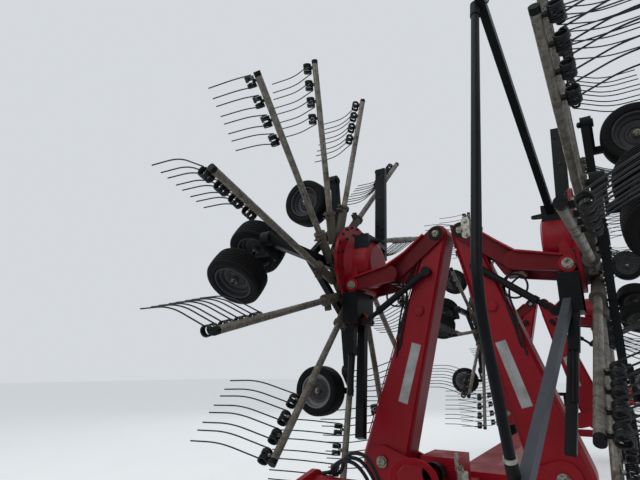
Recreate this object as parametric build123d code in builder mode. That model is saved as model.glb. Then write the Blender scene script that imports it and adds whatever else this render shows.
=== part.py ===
from build123d import *
import os
from math import cos, radians, sin

# Four-rotor hay rake, towed, folded for the road.
# Millimetres. X is across the machine, -Y is the hitch end, Z is up from the ground.
# A piece that repeats is modelled once for the right-hand side, with X measured outwards
# and Y measured from its rotor's axis, and is then mirrored and moved to its station.

# Whole machine: the guard's reach, the rotor spacing and the tail make its length
HUB_HEIGHT = 2330.0
ROTOR_SPACING = 4600.0
TAIL = 2509.0
AXLE_BEHIND = 1950.0

# Front guard, the foremost piece, on the right front rotor only
GUARD_X = 555.0
GUARD_REACH = 1770.0
GUARD_TUBE_R = 21.0
GUARD_BAR_W = 44.0
GUARD_BAR_H = 70.0
# Pipe from top to foot as Y from the rotor's axis and height above the hub
GUARD_PATH = ((-1270.0, 1040.0), (-GUARD_REACH, -480.0), (-1760.0, -640.0), (-1450.0, -1250.0))
GUARD_UPPER_ROOT = (700.0, -100.0, 165.0)
GUARD_LOWER_ROOT = (740.0, -190.0, -405.0)

LENGTH = GUARD_REACH + GUARD_TUBE_R + ROTOR_SPACING + TAIL
FRONT_AXIS_Y = -LENGTH / 2 + GUARD_REACH + GUARD_TUBE_R
REAR_AXIS_Y = FRONT_AXIS_Y + ROTOR_SPACING

# Rotor: angles run from the hitch end upwards, seen from outside
ARM_COUNT = 12
ARM_TIP_R = 1700.0
ARM_ROOT_R = 454.0
ARM_TIP_X = 850.0
ARM_ROOT_X = 896.0
ARM_LAG = 20.75
ARM_TUBE_R = 24.0
ARM_OVERRUN = 45.0
PAIRS_PER_ARM = 4
PAIR_PITCH = 141.0
PAIR_GAP = 64.0
TINE_LUG_W = 30.0
TINE_LUG_T = 26.0
TINE_WIRE = 9.0
TINE_REACH = 545.0
TINE_KNEE = 265.0
TINE_LEAN = 28.0
COIL_R = 36.0
COIL_OFFSET = 74.0
SOCKET_R = 36.0
COLLAR_R = 46.0
COLLAR_T = 24.0
SOCKET_BACK = 190.0
SOCKET_FRONT = 75.0
SOCKET_DEPTH = 60.0
FIT = 0.3

# Rotor head and its fixed axle
FLANGE_R = 350.0
FLANGE_FACE_X = 840.0
FLANGE_T = 24.0
FLANGE_BACK_X = FLANGE_FACE_X - FLANGE_T
BELL_R = 190.0
BELL_INNER_X = 620.0
AXLE_R = 60.0
CARRIER_R = 300.0
CARRIER_T = 84.0

# Black block under the bell, with its leaning legs, and the box on top of the bell
BLOCK_X = 690.0
BLOCK_Y = (-260.0, 20.0)
BLOCK_DROP = 490.0
LEG_TUBE = 60.0
LEG_ROD_R = 22.0
# X, Y and drop below the hub at the top and at the foot, and the share that is square tube
LEGS = (
    ((755.0, -40.0, 440.0), (650.0, -330.0, 1290.0), 1.0),
    ((765.0, -205.0, 440.0), (705.0, -370.0, 1010.0), 0.5),
)
SADDLE_X = (640.0, 760.0)
SADDLE_Y = (-150.0, 50.0)
SADDLE_Z = (110.0, 230.0)

# Upright on each front rotor, leaning back and outwards
POST_FOOT_X = 745.0
POST_FOOT_Y = 330.0
POST_TOP_X = 778.0
POST_TOP_Y = 480.0
POST_TOP = 1050.0
POST_W = 96.0
POST_D = 50.0

# Undercarriage below the rotor, folded to the outside
CHASSIS_X = 945.0
CHASSIS_T = 50.0
NOSE_Y = -1020.0
NOSE_Z = 30.0
OUTER_Y = -100.0
OUTER_Z = 770.0
INNER_Y = 110.0
INNER_Z = -842.0
BEAM_W = 76.0
BOSS_R = 48.0
PIN_R = 20.0

# Castors and their wheels
WHEEL_R = 205.0
WHEEL_W = 165.0
WHEEL_RIM_R = 118.0
WHEEL_DROP = 250.0
TRAIL = 160.0
TWIN_OFFSET = 170.0
TWIN_SWING = 40.0
STUB_R = 12.5
PLATE_T = 18.0
LEG_W = 50.0
LEG_T = 26.0

# Booms
PIVOT_X = 580.0
PIVOT_Z = 870.0
BOOM_TOP_X = 90.0
BOOM_TOP_Z = HUB_HEIGHT + 150.0
BOOM_BASE_R = 170.0
BOOM_TOP_R = 76.0
BOOM_T = 220.0
BOOM_CHAMFER = 22.0
PIVOT_PIN_R = 30.0
TOP_PIN_R = 22.0
PAD_DROP = 560.0
PAD_R = 38.0

# Gooseneck from boom top to rotor head
ELBOW_X = 430.0
ELBOW_Z = HUB_HEIGHT - 125.0
FORK_Y = 190.0
FORK_T = 24.0
TRUNNION_X = 760.0
TRUNNION_Z = HUB_HEIGHT - 190.0

# Levelling strut under each gooseneck
STRUT_R = 24.0
STRUT_ROD_R = 17.0
STRUT_TOP_X = 180.0
STRUT_TOP_Z = HUB_HEIGHT - 130.0
STRUT_FOOT_X = 655.0
STRUT_FOOT_Z = HUB_HEIGHT - 480.0
STRUT_LUG_Y = -160.0
STRUT_LUG_T = 30.0

# Main frame
BEAM_WIDTH = 200.0
BEAM_HEIGHT = 220.0
BEAM_TOP_Z = 840.0
HITCH_PIVOT_Y = FRONT_AXIS_Y - 1050.0
CROSS_HALF = 395.0
CROSS_DEPTH = 300.0
CROSS_HEIGHT = 160.0
LUG_R = 105.0
LUG_T = 25.0
LUG_GAP = 3.0

# Road wheels
ROAD_AXLE_Y = REAR_AXIS_Y + AXLE_BEHIND
ROAD_WHEEL_R = 430.0
ROAD_WHEEL_W = 300.0
ROAD_RIM_R = 230.0
HALF_TRACK = 920.0
ROAD_STUB_R = 32.0
ROAD_BEAM = 110.0

# Headstock, jack, lamps
LINK_X = 482.5
LINK_PIN_R = 18.3
LINK_PIN_REACH = 80.0
LINK_Y = -340.0
LINK_Z = 930.0
SWIVEL_R = 62.0
SWIVEL_PIN_R = 25.0
SWIVEL_Z0 = 640.0
SWIVEL_Z1 = 840.0
JACK_X = 150.0
JACK_Y = FRONT_AXIS_Y - 720.0
JACK_TUBE_R = 30.0
LAMP_BAR_HALF = 1200.0

SIDES = {"left": -1, "right": 1}
STATIONS = {"front": FRONT_AXIS_Y, "rear": REAR_AXIS_Y}
# First arm's angle on each rotor, as it was parked
ARM_PHASE = {
    ("front", "left"): 8.4,
    ("front", "right"): 21.0,
    ("rear", "left"): 17.0,
    ("rear", "right"): 12.0,
}

os.makedirs("parts", exist_ok=True)
nodes = []


def polar(radius, angle):
    """Y and Z of a point round the rotor's axis."""
    return -radius * cos(radians(angle)), HUB_HEIGHT + radius * sin(radians(angle))


def save(shape, name):
    """Labels a piece, writes it, and keeps it for the printed overall box."""
    shape.label = name
    export_step(shape, f"parts/{name}.step")
    nodes.append(shape)


def save_at(shape, name, station, side):
    """Mirrors a right-hand piece for the left, moves it to its station and writes it."""
    placed = shape if side == "right" else mirror(shape, Plane.YZ)
    save(placed.moved(Location((0, STATIONS[station], 0))), f"{name}_{station}_{side}")


def make_boom():
    """Tapered box boom with a pivot bore, a top bore and a slide-pad cover."""
    with BuildPart() as boom:
        with BuildSketch(Plane.XZ) as outline:
            with Locations((PIVOT_X, PIVOT_Z)):
                Circle(BOOM_BASE_R)
            with Locations((BOOM_TOP_X, BOOM_TOP_Z)):
                Circle(BOOM_TOP_R)
            make_hull()
        extrude(amount=BOOM_T / 2, both=True)
        long_edges = boom.edges().filter_by(GeomType.LINE).filter_by(Plane.XZ)
        chamfer(long_edges, BOOM_CHAMFER)
        with BuildSketch(Plane.XZ) as bores:
            with Locations((PIVOT_X, PIVOT_Z)):
                Circle(PIVOT_PIN_R + FIT)
            with Locations((BOOM_TOP_X, BOOM_TOP_Z)):
                Circle(TOP_PIN_R + FIT)
        extrude(amount=BOOM_T, both=True, mode=Mode.SUBTRACT)
        with BuildSketch(Plane.XZ.offset(BOOM_T / 2)) as cover:
            slope = (PIVOT_X - BOOM_TOP_X) / (BOOM_TOP_Z - PIVOT_Z)
            with Locations((BOOM_TOP_X + PAD_DROP * slope, BOOM_TOP_Z - PAD_DROP)):
                Circle(PAD_R)
        extrude(amount=14)
    return boom.part


def make_gooseneck():
    """Cheeks on the boom top, a cranked box arm, and a fork that straddles the rotor head."""
    cheek_y = BOOM_T / 2 + LUG_GAP
    with BuildPart() as gooseneck:
        with BuildSketch(Plane.XZ.offset(cheek_y)) as cheek:
            with Locations((BOOM_TOP_X, BOOM_TOP_Z)):
                Circle(60)
            with Locations((ELBOW_X, ELBOW_Z + 5)):
                Circle(55)
            make_hull()
        extrude(amount=20)
        mirror(about=Plane.XZ)
        with BuildSketch(Plane.XZ) as arm:
            with BuildLine():
                Polyline(
                    (BOOM_TOP_X + 130, BOOM_TOP_Z - 20),
                    (ELBOW_X, ELBOW_Z + 55),
                    (ELBOW_X + 70, ELBOW_Z + 25),
                    (ELBOW_X + 50, ELBOW_Z - 65),
                    (ELBOW_X - 70, ELBOW_Z - 75),
                    (BOOM_TOP_X + 160, BOOM_TOP_Z - 170),
                    close=True,
                )
            make_face()
        extrude(amount=cheek_y, both=True)
        with BuildSketch(Plane.XZ) as cross_tube:
            with Locations((ELBOW_X + 10, ELBOW_Z - 5)):
                Circle(48)
        extrude(amount=FORK_Y, both=True)
        with BuildSketch(Plane.XZ.offset(FORK_Y)) as prong:
            with Locations((ELBOW_X + 10, ELBOW_Z - 5)):
                Circle(60)
            with Locations((TRUNNION_X, TRUNNION_Z)):
                Circle(48)
            make_hull()
        extrude(amount=FORK_T)
        mirror(about=Plane.XZ)
        with BuildSketch(Plane.XZ.offset(FORK_Y + FORK_T)) as fork_bore:
            with Locations((TRUNNION_X, TRUNNION_Z)):
                Circle(TOP_PIN_R + FIT)
        extrude(amount=-2 * (FORK_Y + FORK_T), mode=Mode.SUBTRACT)
        with BuildSketch(Plane.XZ) as top_pin:
            with Locations((BOOM_TOP_X, BOOM_TOP_Z)):
                Circle(TOP_PIN_R)
        extrude(amount=cheek_y + 30, both=True)
    return gooseneck.part


def make_rotor_head():
    """Bell housing, bolted flange, fork trunnions, lower block with legs, and the fixed axle."""
    profile = (
        (BELL_INNER_X, 0),
        (BELL_INNER_X, BELL_R - 40),
        (BELL_INNER_X + 15, BELL_R - 12),
        (BELL_INNER_X + 35, BELL_R),
        (FLANGE_BACK_X - 50, BELL_R),
        (FLANGE_BACK_X - 20, BELL_R + 25),
        (FLANGE_BACK_X, BELL_R + 50),
        (FLANGE_BACK_X, FLANGE_R),
        (FLANGE_FACE_X, FLANGE_R),
        (FLANGE_FACE_X, AXLE_R),
        (CHASSIS_X, AXLE_R),
        (CHASSIS_X, 0),
    )
    block_top = TRUNNION_Z - 60
    block_bottom = HUB_HEIGHT - BLOCK_DROP
    with BuildPart() as head:
        with BuildSketch(Plane.XZ) as section:
            with BuildLine():
                Polyline(*((x, HUB_HEIGHT + r) for x, r in profile), close=True)
            make_face()
        revolve(axis=Axis((0, 0, HUB_HEIGHT), (1, 0, 0)))
        with BuildSketch(Plane.XZ) as trunnion_block:
            with Locations((TRUNNION_X, TRUNNION_Z), (TRUNNION_X + 6, TRUNNION_Z + 120)):
                Circle(44)
            make_hull()
        extrude(amount=FORK_Y - LUG_GAP, both=True)
        with BuildSketch(Plane.XZ) as trunnion_pin:
            with Locations((TRUNNION_X, TRUNNION_Z)):
                Circle(TOP_PIN_R)
        extrude(amount=FORK_Y + FORK_T + 12, both=True)
        with Locations(
            (
                (BLOCK_X + FLANGE_BACK_X) / 2,
                sum(BLOCK_Y) / 2,
                (block_top + block_bottom) / 2,
            )
        ):
            Box(FLANGE_BACK_X - BLOCK_X, BLOCK_Y[1] - BLOCK_Y[0], block_top - block_bottom)
        with BuildSketch(Plane.XZ.offset(-STRUT_LUG_Y - STRUT_LUG_T / 2)) as strut_lug:
            with Locations((STRUT_FOOT_X, STRUT_FOOT_Z)):
                Circle(32)
            with Locations((BLOCK_X + 10, STRUT_FOOT_Z + 30)):
                Rectangle(20, 90)
            make_hull()
        extrude(amount=STRUT_LUG_T)
        for (top_x, top_y, top_drop), (foot_x, foot_y, foot_drop), square in LEGS:
            top = Vector(top_x, top_y, HUB_HEIGHT - top_drop)
            run = Vector(foot_x, foot_y, HUB_HEIGHT - foot_drop) - top
            with BuildSketch(Plane(origin=top, x_dir=(1, 0, 0), z_dir=run)) as leg:
                Rectangle(LEG_TUBE, LEG_TUBE)
            extrude(amount=run.length * square)
            with BuildSketch(Plane(origin=top, z_dir=run)) as leg_rod:
                Circle(LEG_ROD_R)
            extrude(amount=run.length)
    return head.part


def arm_plane(angle):
    """Frame of one tine arm: z along the tube, x outwards, y the way the angle grows."""
    root = Vector(ARM_ROOT_X, *polar(ARM_ROOT_R, angle - ARM_LAG))
    tip = Vector(ARM_TIP_X, *polar(ARM_TIP_R, angle))
    return Plane(origin=root, x_dir=(1, 0, 0), z_dir=tip - root)


def arm_length():
    """Length from an arm's root to the point that its tip radius gives."""
    root = Vector(ARM_ROOT_X, *polar(ARM_ROOT_R, -ARM_LAG))
    tip = Vector(ARM_TIP_X, *polar(ARM_TIP_R, 0))
    return (tip - root).length


def make_tine_arm():
    """One arm tube with coil sleeves beside it and bent spring tines, along its own z axis."""
    half = TINE_WIRE / 2
    knee_x = COIL_OFFSET + TINE_KNEE * cos(radians(TINE_LEAN))
    start_y = COIL_R - half - 3
    knee_y = start_y + TINE_KNEE * sin(radians(TINE_LEAN))
    with BuildPart() as tine_arm:
        start = SOCKET_FRONT - SOCKET_DEPTH
        with BuildSketch(Plane.XY.offset(start)) as tube:
            Circle(ARM_TUBE_R)
        extrude(amount=arm_length() + ARM_OVERRUN - start)
        for pair in range(PAIRS_PER_ARM):
            middle = arm_length() - pair * PAIR_PITCH
            with BuildSketch(Plane.XY.offset(middle - PAIR_GAP / 2 - TINE_WIRE)) as sleeve:
                with Locations((COIL_OFFSET, 0)):
                    RegularPolygon(COIL_R, 6)
            extrude(amount=PAIR_GAP + 2 * TINE_WIRE)
            with BuildSketch(Plane.XY.offset(middle - TINE_LUG_T / 2)) as tine_lug:
                with Locations((COIL_OFFSET / 2, 0)):
                    Rectangle(COIL_OFFSET, TINE_LUG_W)
            extrude(amount=TINE_LUG_T)
            for shift in (-PAIR_GAP / 2, PAIR_GAP / 2):
                with BuildSketch(Plane.XY.offset(middle + shift - half)) as tine:
                    with BuildLine():
                        Polyline(
                            (COIL_OFFSET, start_y + half),
                            (knee_x - half, knee_y + half),
                            (TINE_REACH, knee_y + half),
                            (TINE_REACH, knee_y - half),
                            (knee_x + half, knee_y - half),
                            (COIL_OFFSET, start_y - half),
                            close=True,
                        )
                    make_face()
                extrude(amount=TINE_WIRE)
    return tine_arm.part


def make_arm_carrier(phase):
    """Rotating hub ring with one bored socket for each arm."""
    with BuildPart() as carrier:
        with BuildSketch(Plane.YZ.offset(FLANGE_FACE_X)) as ring:
            with Locations((0, HUB_HEIGHT)):
                Circle(CARRIER_R)
        extrude(amount=CARRIER_T, taper=12)
        planes = [arm_plane(phase + n * 360 / ARM_COUNT) for n in range(ARM_COUNT)]
        for plane in planes:
            with BuildSketch(plane.offset(-SOCKET_BACK)) as socket:
                Circle(SOCKET_R)
            extrude(amount=SOCKET_BACK + SOCKET_FRONT)
            with BuildSketch(plane.offset(SOCKET_FRONT - COLLAR_T)) as collar:
                Circle(COLLAR_R)
            extrude(amount=COLLAR_T)
        for plane in planes:
            with BuildSketch(plane.offset(SOCKET_FRONT)) as socket_bore:
                Circle(ARM_TUBE_R + FIT)
            extrude(amount=-SOCKET_DEPTH, mode=Mode.SUBTRACT)
        with BuildSketch(Plane.YZ.offset(FLANGE_FACE_X)) as bore:
            with Locations((0, HUB_HEIGHT)):
                Circle(AXLE_R + FIT)
        extrude(amount=2 * CARRIER_T, mode=Mode.SUBTRACT)
        split(bisect_by=Plane.YZ.offset(FLANGE_FACE_X), keep=Keep.TOP)
    return carrier.part


def make_undercarriage():
    """Flat frame bolted to the fixed axle, with a nose boom and a crossbeam for the castors."""
    with BuildPart() as undercarriage:
        with BuildSketch(Plane.YZ.offset(CHASSIS_X)) as beams:
            with BuildLine():
                Line((0, HUB_HEIGHT), (NOSE_Y, HUB_HEIGHT + NOSE_Z))
            trace(line_width=BEAM_W)
            with BuildLine():
                Line((INNER_Y, HUB_HEIGHT + INNER_Z), (OUTER_Y, HUB_HEIGHT + OUTER_Z))
            trace(line_width=BEAM_W)
            for end_y, end_z in ((INNER_Y, INNER_Z), (OUTER_Y, OUTER_Z)):
                with BuildLine():
                    Line((NOSE_Y / 2, HUB_HEIGHT), (end_y / 2, HUB_HEIGHT + end_z / 2))
                trace(line_width=BEAM_W * 0.6)
            with Locations((0, HUB_HEIGHT)):
                Circle(140)
            with Locations(*castor_pivots().values()):
                Circle(BOSS_R)
            with Locations(*castor_pivots().values()):
                Circle(PIN_R + FIT, mode=Mode.SUBTRACT)
        extrude(amount=CHASSIS_T)
    return undercarriage.part


def castor_pivots():
    """Y and Z of each castor's pivot."""
    return {
        "nose": (NOSE_Y, HUB_HEIGHT + NOSE_Z),
        "outer": (OUTER_Y, HUB_HEIGHT + OUTER_Z),
        "inner": (INNER_Y, HUB_HEIGHT + INNER_Z),
    }


def castor_plane(which):
    """Frame of a castor: z outwards along its pivot, x along its trail."""
    y, z = castor_pivots()[which]
    swing = TWIN_SWING if which == "nose" else 90.0
    trail = (0, cos(radians(swing)), -sin(radians(swing)))
    return Plane(origin=(CHASSIS_X + CHASSIS_T, y, z), x_dir=trail, z_dir=(1, 0, 0))


def make_nose_castor():
    """Castor with one leg between twin wheels, along its own z axis."""
    with BuildPart() as castor:
        with BuildSketch() as plate:
            Circle(BOSS_R)
            with Locations((TRAIL, 0)):
                Circle(LEG_W / 2)
            make_hull()
        extrude(amount=PLATE_T)
        with BuildSketch() as pin:
            Circle(PIN_R)
        extrude(amount=-CHASSIS_T - 12)
        with BuildSketch() as leg:
            with Locations((TRAIL, 0)):
                Rectangle(LEG_W, LEG_T)
        extrude(amount=WHEEL_DROP + LEG_W / 2)
        with BuildSketch(Plane.XZ) as stub:
            with Locations((TRAIL, WHEEL_DROP)):
                Circle(STUB_R)
        extrude(amount=TWIN_OFFSET + WHEEL_W / 2, both=True)
        for edge_y in (-1, 1):
            with BuildSketch(Plane.XZ.offset(edge_y * (TWIN_OFFSET + WHEEL_W / 2 - 60))) as cap:
                with Locations((TRAIL, WHEEL_DROP)):
                    Circle(28)
            extrude(amount=edge_y * 14)
    return castor.part


def make_side_castor():
    """Castor with a single leg beside its wheel, along its own z axis."""
    leg_y = WHEEL_W / 2 + 16
    with BuildPart() as castor:
        with BuildSketch() as plate:
            Circle(BOSS_R)
            with Locations((TRAIL, leg_y + LEG_T / 2)):
                Circle(LEG_W / 2)
            make_hull()
        extrude(amount=PLATE_T)
        with BuildSketch() as pin:
            Circle(PIN_R)
        extrude(amount=-CHASSIS_T - 12)
        with BuildSketch() as leg:
            with Locations((TRAIL, leg_y + LEG_T / 2)):
                Rectangle(LEG_W, LEG_T)
        extrude(amount=WHEEL_DROP + LEG_W / 2)
        with BuildSketch(Plane.XZ.offset(-leg_y - LEG_T / 2)) as stub:
            with Locations((TRAIL, WHEEL_DROP)):
                Circle(STUB_R)
        extrude(amount=leg_y + LEG_T / 2 + 36)
        with BuildSketch(Plane.XZ.offset(22)) as cap:
            with Locations((TRAIL, WHEEL_DROP)):
                Circle(28)
        extrude(amount=14)
    return castor.part


def make_wheel(radius, width, rim_radius, bore_radius, dish):
    """Tyre and dished rim turned about the Y axis, centred on the origin."""
    half = width / 2
    with BuildPart() as wheel:
        with BuildSketch(Plane.YZ) as section:
            with BuildLine():
                Polyline(
                    (-dish / 2, bore_radius),
                    (-dish / 2, rim_radius * 0.75),
                    (-half * 0.72, rim_radius * 0.86),
                    (-half * 0.8, rim_radius),
                    (-half, (rim_radius + radius) / 2),
                    (-half * 0.86, radius * 0.965),
                    (-half * 0.55, radius),
                    (half * 0.55, radius),
                    (half * 0.86, radius * 0.965),
                    (half, (rim_radius + radius) / 2),
                    (half * 0.8, rim_radius),
                    (half * 0.72, rim_radius * 0.86),
                    (dish / 2, rim_radius * 0.75),
                    (dish / 2, bore_radius),
                    close=True,
                )
            make_face()
        revolve(axis=Axis.Y)
    return wheel.part


def make_strut():
    """Levelling strut from the boom's front face to the lug below the rotor head."""
    top_y = -(BOOM_T / 2 + STRUT_R + 4)
    foot_y = STRUT_LUG_Y - STRUT_LUG_T / 2 - STRUT_ROD_R - 3
    top = Vector(STRUT_TOP_X, top_y, STRUT_TOP_Z)
    foot = Vector(STRUT_FOOT_X, foot_y, STRUT_FOOT_Z)
    run = foot - top
    with BuildPart() as strut:
        with BuildSketch(Plane(origin=top, z_dir=run)) as barrel:
            Circle(STRUT_R)
        extrude(amount=run.length * 0.78)
        with BuildSketch(Plane(origin=top, z_dir=run)) as rod:
            Circle(STRUT_ROD_R)
        extrude(amount=run.length)
        with BuildSketch(Plane.XZ.offset(BOOM_T / 2)) as top_eye:
            with Locations((top.X, top.Z)):
                Circle(36)
        extrude(amount=2 * STRUT_R + 4)
        with BuildSketch(Plane.XZ.offset(-STRUT_LUG_Y + STRUT_LUG_T / 2)) as foot_eye:
            with Locations((foot.X, foot.Z)):
                Circle(30)
        extrude(amount=2 * STRUT_ROD_R + 6)
    return strut.part


def make_post():
    """Saddle box on a front rotor's bell, an eye plate, and a leaning upright with a hook."""
    foot = Vector(POST_FOOT_X, POST_FOOT_Y, HUB_HEIGHT + SADDLE_Z[0])
    run = Vector(POST_TOP_X, POST_TOP_Y, HUB_HEIGHT + POST_TOP) - foot
    with BuildPart() as post:
        with Locations((sum(SADDLE_X) / 2, sum(SADDLE_Y) / 2, HUB_HEIGHT + sum(SADDLE_Z) / 2)):
            Box(SADDLE_X[1] - SADDLE_X[0], SADDLE_Y[1] - SADDLE_Y[0], SADDLE_Z[1] - SADDLE_Z[0])
        with BuildSketch(Plane.XY.offset(HUB_HEIGHT + SADDLE_Z[1] - 38)) as foot_plate:
            with Locations((sum(SADDLE_X) / 2, SADDLE_Y[1] - 20)):
                Rectangle(80, 40)
            with Locations((POST_FOOT_X, POST_FOOT_Y)):
                Rectangle(POST_W, 60)
            make_hull()
        extrude(amount=38)
        with BuildSketch(Plane(origin=foot, x_dir=(1, 0, 0), z_dir=run)) as upright:
            Rectangle(POST_W, POST_D)
        extrude(amount=run.length)
        for drop in (26, 130):
            lean = Plane(origin=foot, x_dir=(1, 0, 0), z_dir=run).offset(run.length - drop)
            with BuildSketch(lean) as hook:
                with Locations((POST_W / 2, 0)):
                    Rectangle(24, 22)
            extrude(amount=26)
        with BuildSketch(Plane.XY.offset(HUB_HEIGHT + SADDLE_Z[1] - 38)) as eye_plate:
            with Locations((SADDLE_X[0] - 50, 0)):
                Circle(30)
            with Locations((SADDLE_X[0] + 10, 0)):
                Rectangle(20, 90)
            make_hull()
            with Locations((SADDLE_X[0] - 50, 0)):
                Circle(14, mode=Mode.SUBTRACT)
        extrude(amount=16)
        with Locations((FLANGE_BACK_X - 100, 0, HUB_HEIGHT)):
            Cylinder(BELL_R + FIT, 400, rotation=(0, 90, 0), mode=Mode.SUBTRACT)
    return post.part


def make_guard():
    """Bent front guard pipe on two square bars, from the saddle box and the lower block."""
    path = [(GUARD_X, y, HUB_HEIGHT + z) for y, z in GUARD_PATH]
    bars = (
        (GUARD_UPPER_ROOT, path[0], (SADDLE_X, SADDLE_Y, SADDLE_Z)),
        (GUARD_LOWER_ROOT, path[-1], ((BLOCK_X, FLANGE_BACK_X), BLOCK_Y, (-BLOCK_DROP, -100.0))),
    )
    with BuildPart() as guard:
        for start, end in zip(path, path[1:]):
            run = Vector(end) - Vector(start)
            with BuildSketch(Plane(origin=start, z_dir=run)) as pipe:
                Circle(GUARD_TUBE_R)
            extrude(amount=run.length)
        with Locations(*path[1:-1]):
            Sphere(GUARD_TUBE_R)
        for (root_x, root_y, root_z), end, (seat_x, seat_y, seat_z) in bars:
            root = Vector(root_x, root_y, HUB_HEIGHT + root_z)
            run = Vector(end) + Vector(GUARD_BAR_W / 2 + 10, 0, 0) - root
            with BuildSketch(Plane(origin=root, x_dir=(1, 0, 0), z_dir=run)) as bar:
                Rectangle(GUARD_BAR_W, GUARD_BAR_H)
            extrude(amount=run.length + 40)
            with Locations((sum(seat_x) / 2, sum(seat_y) / 2, HUB_HEIGHT + sum(seat_z) / 2)):
                Box(
                    seat_x[1] - seat_x[0] + 2 * FIT,
                    seat_y[1] - seat_y[0] + 2 * FIT,
                    seat_z[1] - seat_z[0] + 2 * FIT,
                    mode=Mode.SUBTRACT,
                )
        with Locations((FLANGE_BACK_X - 100, 0, HUB_HEIGHT)):
            Cylinder(BELL_R + FIT, 400, rotation=(0, 90, 0), mode=Mode.SUBTRACT)
    return guard.part


def make_main_frame():
    """Box beam, boom crossmembers with clevis lugs, swivel boss, gearbox and axle bracket."""
    beam_front = HITCH_PIVOT_Y + 100
    beam_back = ROAD_AXLE_Y + 180
    beam_z = BEAM_TOP_Z - BEAM_HEIGHT / 2
    lug_y = BOOM_T / 2 + LUG_GAP
    with BuildPart() as frame:
        with Locations((0, (beam_front + beam_back) / 2, beam_z)):
            Box(BEAM_WIDTH, beam_back - beam_front, BEAM_HEIGHT)
        for station_y in STATIONS.values():
            with Locations((0, station_y, PIVOT_Z - CROSS_HEIGHT / 2)):
                Box(2 * CROSS_HALF, CROSS_DEPTH, CROSS_HEIGHT)
            for face in (lug_y, -lug_y - LUG_T):
                for side in SIDES.values():
                    lug_plane = Plane.XZ.offset(-station_y + face)
                    with BuildSketch(lug_plane) as lug:
                        with Locations((side * PIVOT_X, PIVOT_Z)):
                            Circle(LUG_R)
                        with Locations((side * (CROSS_HALF - 60), PIVOT_Z - CROSS_HEIGHT / 2)):
                            Rectangle(100, CROSS_HEIGHT)
                        make_hull()
                    extrude(amount=LUG_T)
            with BuildSketch(Plane.XZ.offset(-station_y)) as pins:
                with Locations((PIVOT_X, PIVOT_Z), (-PIVOT_X, PIVOT_Z)):
                    Circle(PIVOT_PIN_R)
            extrude(amount=lug_y + LUG_T + 14, both=True)
        with BuildSketch(Plane.XY.offset(SWIVEL_Z0)) as swivel:
            with Locations((0, HITCH_PIVOT_Y)):
                Circle(SWIVEL_R)
            with Locations((0, HITCH_PIVOT_Y + 70)):
                Rectangle(2 * SWIVEL_R, 140)
        extrude(amount=SWIVEL_Z1 - SWIVEL_Z0)
        with BuildSketch(Plane.XY.offset(SWIVEL_Z0)) as swivel_bore:
            with Locations((0, HITCH_PIVOT_Y)):
                Circle(SWIVEL_PIN_R + FIT)
        extrude(amount=SWIVEL_Z1 - SWIVEL_Z0, mode=Mode.SUBTRACT)
        with Locations((0, FRONT_AXIS_Y - 520, BEAM_TOP_Z + 90)):
            Box(210, 260, 180)
        with BuildSketch(Plane.XZ.offset(-(FRONT_AXIS_Y - 650))) as pto:
            with Locations((0, BEAM_TOP_Z + 110)):
                Circle(17.5)
        extrude(amount=120)
        saddle_z = (ROAD_WHEEL_R + ROAD_BEAM / 2, BEAM_TOP_Z - BEAM_HEIGHT + 20)
        with Locations((0, ROAD_AXLE_Y, sum(saddle_z) / 2)):
            Box(240, 220, saddle_z[1] - saddle_z[0])
        with BuildSketch(Plane.XY.offset(BEAM_TOP_Z - BEAM_HEIGHT - 60)) as jack_sleeve:
            with Locations((JACK_X, JACK_Y)):
                Circle(JACK_TUBE_R + 12)
            with Locations((JACK_X - 25, JACK_Y)):
                Rectangle(50, 60)
        extrude(amount=BEAM_HEIGHT + 120)
        with BuildSketch(Plane.XY.offset(0)) as jack_bore:
            with Locations((JACK_X, JACK_Y)):
                Circle(JACK_TUBE_R + FIT)
        extrude(amount=2000, mode=Mode.SUBTRACT)
    return frame.part


def make_road_axle():
    """Square axle beam under the frame with round stubs for the road wheels."""
    with BuildPart() as axle:
        with Locations((0, ROAD_AXLE_Y, ROAD_WHEEL_R)):
            Box(2 * (HALF_TRACK - 190), ROAD_BEAM, ROAD_BEAM)
        with BuildSketch(Plane.YZ) as stub:
            with Locations((ROAD_AXLE_Y, ROAD_WHEEL_R)):
                Circle(ROAD_STUB_R)
        extrude(amount=HALF_TRACK + 60, both=True)
        for side in SIDES.values():
            with BuildSketch(Plane.YZ.offset(side * (HALF_TRACK + 26))) as cap:
                with Locations((ROAD_AXLE_Y, ROAD_WHEEL_R)):
                    Circle(70)
            extrude(amount=side * 34)
    return axle.part


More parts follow.
